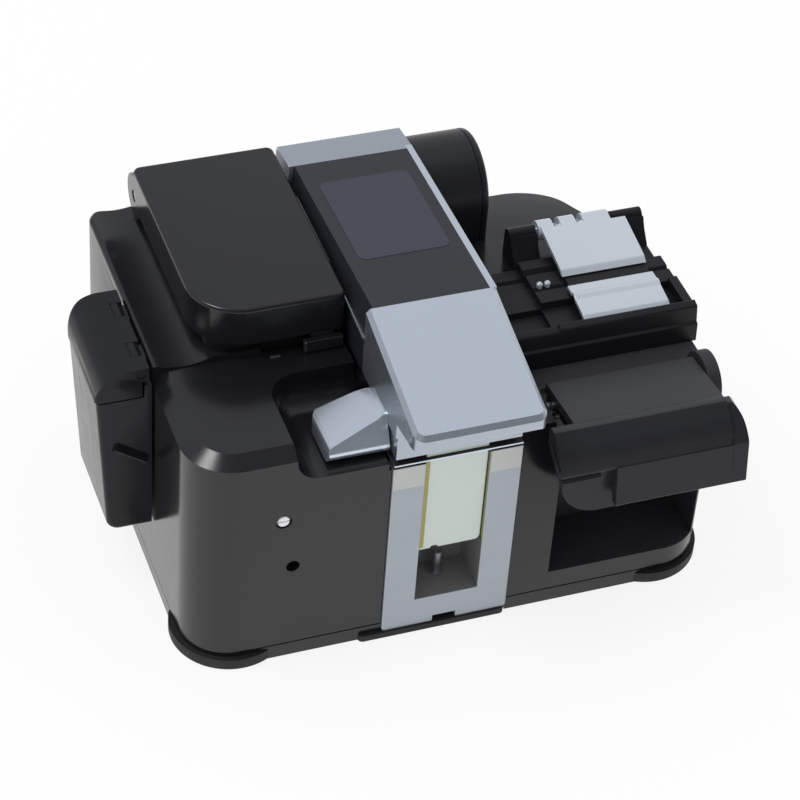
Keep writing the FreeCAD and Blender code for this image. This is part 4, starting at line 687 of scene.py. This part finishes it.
class CLEAVER_OT_guide(bpy.types.Operator):
    """Finish the front guide plate, its pads and liners, and the stop pin"""
    bl_idname = "cleaver.guide"
    bl_label = "Guide plate"

    def execute(self, context):
        plate = crisp("guide_plate", "aluminium", edges().metal)
        crisp("stop_pin", "steel", edges().metal, segments=2)
        low, high = box_mm("guide_plate")
        block_low, block_high = box_mm("guide_block")
        front = low.y
        top = high.z
        half = high.x
        window = block_high.x + BLOCK_GAP
        # Painted shade inside the window round the block
        repaint(plate, (-window - WINDOW_MARGIN, front + WINDOW_SKIN, low.z),
                (window + WINDOW_MARGIN, high.y, top - WINDOW_SKIN), "channel")
        # Painted shade on a band of the top face, in the dark base paint
        below, above = PLATE_TOP_BAND
        repaint(plate, (-half, front, top - below), (half, high.y, top + above), "grey",
                facing=(0, 0, 1), least=0.7)
        for side, name in ((-1, "left"), (1, "right")):
            near, far = sorted((side * (window + PAD_NEAR), side * (half - PAD_FAR)))
            plain_block("wear_pad_" + name, (near, front - PAD_PROUD, top - PAD_HEIGHT),
                        (far, front + PAD_DEPTH, top - PAD_PROUD), "pad", "casing", PAD_EDGE)
            near, far = sorted((side * (window - LINER_OUT), side * (window + LINER_IN)))
            plain_block("window_liner_" + name,
                        (near, front + LINER_FRONT, block_low.z - LINER_BELOW),
                        (far, front + LINER_REAR, top - WINDOW_SKIN), "brass", "casing",
                        STRIP_EDGE)
        return {"FINISHED"}


class CLEAVER_OT_bed(bpy.types.Operator):
    """Finish the cutting bed, the carriage, the blade and the rollers"""
    bl_idname = "cleaver.bed"
    bl_label = "Bed and rollers"

    def execute(self, context):
        e = edges()
        crisp("bed_block", "bed", e.metal)
        crisp("blade_carriage", "bed", e.metal)
        crisp("roller_frame", "grey", e.metal)
        for name in ("guide_rod_left", "guide_rod_right", "blade_pin", "blade_wheel", "feed_axle",
                     "pinch_axle"):
            paint(nodes[name], "steel")
        for name in ("lower_pad_left", "lower_pad_right", "feed_roller", "pinch_roller"):
            paint(nodes[name], "rubber")
        return {"FINISHED"}


class CLEAVER_OT_lid(bpy.types.Operator):
    """Finish the top lid"""
    bl_idname = "cleaver.lid"
    bl_label = "Top lid"

    def execute(self, context):
        crisp("top_lid", "casing", edges().lid)
        front = Vector((0.0, box_mm("top_lid")[0].y, 0.0))
        for name, low, high, finish, body, width, slot in CATCH_PARTS:
            plain_block(name, Vector(low) + front, Vector(high) + front, finish, body, width,
                        slot=slot)
        paint(nodes["lid_pin"], "steel")
        return {"FINISHED"}


def lug_filler(name, x, y, z, roof):
    """Closes the cover's slot round one hinge lug, clear of the lug as the cover turns."""
    outer = (x - LUG_OUTER) * MM
    top = (roof - ROOF_GAP) * MM
    bm = bmesh.new()
    start = bm.verts.new(((x - LUG_REACH) * MM, (y - LUG_SLOT_HALF) * MM, z * MM))
    bmesh.ops.spin(bm, geom=[start], cent=(x * MM, 0, z * MM), axis=(0, 1, 0), dvec=(0, 0, 0),
                   angle=math.radians(LUG_SWEEP), steps=LUG_STEPS, use_duplicate=False)
    bm.verts.ensure_lookup_table()
    end = max(bm.verts, key=lambda vert: vert.co.z)
    roof_inner = bm.verts.new((end.co.x, end.co.y, top))
    roof_outer = bm.verts.new((outer, end.co.y, top))
    foot = bm.verts.new((outer, end.co.y, z * MM))
    corners = (end, roof_inner, roof_outer, foot, start)
    for pair in zip(corners, corners[1:]):
        bm.edges.new(pair)
    bmesh.ops.contextual_create(bm, geom=bm.edges[:])
    solid = bmesh.ops.extrude_face_region(bm, geom=bm.faces[:], use_keep_orig=True)
    far = [item for item in solid["geom"] if isinstance(item, bmesh.types.BMVert)]
    bmesh.ops.translate(bm, vec=(0, 2 * LUG_SLOT_HALF * MM, 0), verts=far)
    place_mesh(name, bm, "bin", "cover")
    for side, tag in ((-1, "front"), (1, "rear")):
        near, far = sorted(y + side * distance for distance in LUG_CHEEK)
        plain_block(name + "_" + tag, (x - LUG_OUTER, near, z + CHEEK_LIFT),
                    (x + CHEEK_RIGHT, far, roof - CHEEK_ROOF_GAP), "bin", "cover", STRIP_EDGE,
                    slot="case_black")


class CLEAVER_OT_bin(bpy.types.Operator):
    """Finish the scrap bin and its cover"""
    bl_idname = "cleaver.bin"
    bl_label = "Scrap bin"

    def execute(self, context):
        crisp("scrap_bin", "bin", edges().lid)
        crisp("bin_cover", "bin", edges().lid)
        low, high = box_mm("bin_cover")
        pin_low, pin_high = box_mm("bin_pin")
        pin = (pin_low + pin_high) / 2
        for number, share in enumerate(LUG_SHARES, 1):
            y = low.y + (high.y - low.y) * share
            lug_filler("bin_lug_fill_%d" % number, pin.x, y, pin.z, high.z)
        paint(nodes["bin_pin"], "bin")
        return {"FINISHED"}


class CLEAVER_OT_platform(bpy.types.Operator):
    """Finish the fibre platform and its hinged clamp"""
    bl_idname = "cleaver.platform"
    bl_label = "Fibre platform"

    def execute(self, context):
        e = edges()
        crisp("fibre_platform", "platform", e.metal)
        crisp("clamp_plate", "sheet", e.metal)
        crisp("finger_plate", "sheet", e.metal)
        crisp("clamp_bar", "platform", e.metal)
        paint(nodes["clamp_pad"], "rubber")
        paint(nodes["clamp_rod"], "steel")
        paint(nodes["locating_pins"], "sheet")
        return {"FINISHED"}


class CLEAVER_OT_press(bpy.types.Operator):
    """Finish the press lever"""
    bl_idname = "cleaver.press"
    bl_label = "Press lever"

    def execute(self, context):
        lever = crisp("press_lever", "press", edges().press)
        low, high = box_mm("press_lever")
        repaint(lever, (low.x, PRESS_TOP_FRONT, PRESS_TOP_LOW), high, "press_top",
                facing=(0, 0, 1), least=0.8)
        paint(nodes["press_pin"], "steel")
        paint(nodes["press_spring"], "steel")
        return {"FINISHED"}


# Stage

def area_lamp(name, place, aim, size, power):
    lamp = bpy.data.lights.new(name, "AREA")
    lamp.shape = "SQUARE"
    lamp.size = size
    lamp.energy = power
    obj = bpy.data.objects.new(name, lamp)
    obj.location = place
    obj.rotation_euler = (Vector(aim) - Vector(place)).to_track_quat("-Z", "Y").to_euler()
    bpy.context.scene.collection.objects.link(obj)


def white_to_eye(tree, lit, share):
    """Mixes a shader with plain white for camera, mirror and see-through rays."""
    path = tree.nodes.new("ShaderNodeLightPath")
    seen = math_node(tree, "MAXIMUM", path.outputs["Is Camera Ray"], path.outputs["Is Glossy Ray"])
    seen = math_node(tree, "MAXIMUM", seen, path.outputs["Is Transmission Ray"])
    white = tree.nodes.new("ShaderNodeEmission")
    white.inputs["Color"].default_value = (1.0, 1.0, 1.0, 1.0)
    white.inputs["Strength"].default_value = 1.0
    mix = tree.nodes.new("ShaderNodeMixShader")
    tree.links.new(math_node(tree, "MULTIPLY", seen, share), mix.inputs["Fac"])
    tree.links.new(lit, mix.inputs[1])
    tree.links.new(white.outputs[0], mix.inputs[2])
    return mix.outputs[0]


def make_floor():
    mesh = bpy.data.meshes.new("floor")
    bm = bmesh.new()
    bmesh.ops.create_grid(bm, x_segments=1, y_segments=1, size=FLOOR_HALF)
    bm.to_mesh(mesh)
    bm.free()
    floor = bpy.data.objects.new("floor", mesh)
    bpy.context.scene.collection.objects.link(floor)
    material = bpy.data.materials.new("Pale floor")
    material.use_nodes = True
    tree = material.node_tree
    shader = tree.nodes["Principled BSDF"]
    shader.inputs["Base Color"].default_value = (0.92, 0.92, 0.92, 1.0)
    shader.inputs["Roughness"].default_value = 0.9
    shader.inputs["Specular IOR Level"].default_value = 0.1
    out = tree.nodes["Material Output"]
    tree.links.new(white_to_eye(tree, shader.outputs[0], FLOOR_WHITE), out.inputs["Surface"])
    mesh.materials.append(material)


def make_world(level, rear, front):
    """Even sky for the light, plain white to the eye, and in mirrors a room with a dark front."""
    world = bpy.data.worlds.new("Studio")
    world.use_nodes = True
    bpy.context.scene.world = world
    tree = world.node_tree
    out = tree.nodes["World Output"]
    path = tree.nodes.new("ShaderNodeLightPath")
    shades = []
    for name, tint, strength in (("Background", (0.97, 0.985, 1.0, 1.0), level),
                                 ("Mirrored", (0.94, 0.96, 1.0, 1.0), rear),
                                 ("White", (1.0, 1.0, 1.0, 1.0), 1.0)):
        shade = tree.nodes.get(name) or tree.nodes.new("ShaderNodeBackground")
        shade.inputs["Color"].default_value = tint
        shade.inputs["Strength"].default_value = strength
        shades.append(shade)
    split = tree.nodes.new("ShaderNodeSeparateXYZ")
    tree.links.new(tree.nodes.new("ShaderNodeTexCoord").outputs["Generated"], split.inputs[0])
    room = tree.nodes.new("ShaderNodeMapRange")
    room.interpolation_type = "SMOOTHSTEP"
    room.inputs["From Min"].default_value = ROOM_FRONT
    room.inputs["From Max"].default_value = ROOM_REAR
    room.inputs["To Min"].default_value = front
    room.inputs["To Max"].default_value = rear
    tree.links.new(split.outputs["Y"], room.inputs["Value"])
    tree.links.new(room.outputs[0], shades[1].inputs["Strength"])
    in_mirror = tree.nodes.new("ShaderNodeMixShader")
    tree.links.new(path.outputs["Is Glossy Ray"], in_mirror.inputs["Fac"])
    tree.links.new(shades[0].outputs[0], in_mirror.inputs[1])
    tree.links.new(shades[1].outputs[0], in_mirror.inputs[2])
    to_eye = tree.nodes.new("ShaderNodeMixShader")
    seen = math_node(tree, "MAXIMUM", path.outputs["Is Camera Ray"],
                     path.outputs["Is Transmission Ray"])
    tree.links.new(seen, to_eye.inputs["Fac"])
    tree.links.new(in_mirror.outputs[0], to_eye.inputs[1])
    tree.links.new(shades[2].outputs[0], to_eye.inputs[2])
    tree.links.new(to_eye.outputs[0], out.inputs["Surface"])


def make_camera():
    azimuth, elevation, roll = (math.radians(angle) for angle in (AZIMUTH, ELEVATION, ROLL))
    back = Vector((math.sin(azimuth) * math.cos(elevation),
                   -math.cos(azimuth) * math.cos(elevation), math.sin(elevation)))
    level = Vector((math.cos(azimuth), math.sin(azimuth), 0.0))
    upright = back.cross(level)
    right = math.cos(roll) * level + math.sin(roll) * upright
    up = -math.sin(roll) * level + math.cos(roll) * upright
    rightward, upward, distance = CAMERA_OFFSET
    place = (Vector(CAMERA_TARGET) + right * rightward + up * upward + back * distance) * MM
    lens = bpy.data.cameras.new("Camera")
    lens.sensor_width = SENSOR_WIDTH
    lens.lens = SENSOR_WIDTH * FOCAL_PIXELS / FRAME_PIXELS
    lens.clip_start = 0.01
    camera = bpy.data.objects.new("Camera", lens)
    camera.matrix_world = Matrix((
        (right.x, up.x, back.x, place.x),
        (right.y, up.y, back.y, place.y),
        (right.z, up.z, back.z, place.z),
        (0.0, 0.0, 0.0, 1.0)))
    bpy.context.scene.collection.objects.link(camera)
    bpy.context.scene.camera = camera


class CLEAVER_OT_stage(bpy.types.Operator):
    """Set up the floor, the lights and the camera"""
    bl_idname = "cleaver.stage"
    bl_label = "Stage"

    def execute(self, context):
        levels = context.scene.cleaver_stage
        make_floor()
        make_world(levels.sky, levels.rear, levels.front)
        area_lamp("Key lamp", KEY_PLACE, LAMP_AIM, KEY_SIZE, levels.key)
        area_lamp("Fill lamp", FILL_PLACE, LAMP_AIM, FILL_SIZE, levels.fill)
        make_camera()
        context.scene.view_settings.view_transform = "Standard"
        return {"FINISHED"}


class CLEAVER_PT_panel(bpy.types.Panel):
    """Cleaver pieces and settings"""
    bl_idname = "CLEAVER_PT_panel"
    bl_label = "Cleaver"
    bl_space_type = "VIEW_3D"
    bl_region_type = "UI"
    bl_category = "Cleaver"

    def draw(self, context):
        column = self.layout.column()
        for group in (context.scene.cleaver_edges, context.scene.cleaver_colours,
                      context.scene.cleaver_stage):
            for name in group.__annotations__:
                column.prop(group, name)
        for step in STEPS:
            column.operator(step.bl_idname)


STEPS = (CLEAVER_OT_finishes, CLEAVER_OT_casing, CLEAVER_OT_lever, CLEAVER_OT_guide, CLEAVER_OT_bed,
         CLEAVER_OT_lid, CLEAVER_OT_bin, CLEAVER_OT_platform, CLEAVER_OT_press, CLEAVER_OT_stage)
CLASSES = (CleaverEdges, CleaverColours, CleaverStage, *STEPS, CLEAVER_PT_panel)


def register():
    for cls in CLASSES:
        bpy.utils.register_class(cls)
    bpy.types.Scene.cleaver_edges = PointerProperty(type=CleaverEdges)
    bpy.types.Scene.cleaver_colours = PointerProperty(type=CleaverColours)
    bpy.types.Scene.cleaver_stage = PointerProperty(type=CleaverStage)


def unregister():
    del bpy.types.Scene.cleaver_stage
    del bpy.types.Scene.cleaver_colours
    del bpy.types.Scene.cleaver_edges
    for cls in reversed(CLASSES):
        bpy.utils.unregister_class(cls)


def main():
    register()
    bpy.ops.cleaver.finishes()
    bpy.ops.cleaver.casing()
    bpy.ops.cleaver.lever()
    bpy.ops.cleaver.guide()
    bpy.ops.cleaver.bed()
    bpy.ops.cleaver.lid()
    bpy.ops.cleaver.bin()
    bpy.ops.cleaver.platform()
    bpy.ops.cleaver.press()
    bpy.ops.cleaver.stage()
    bpy.context.view_layer.update()


if __name__ == "__main__":
    main()
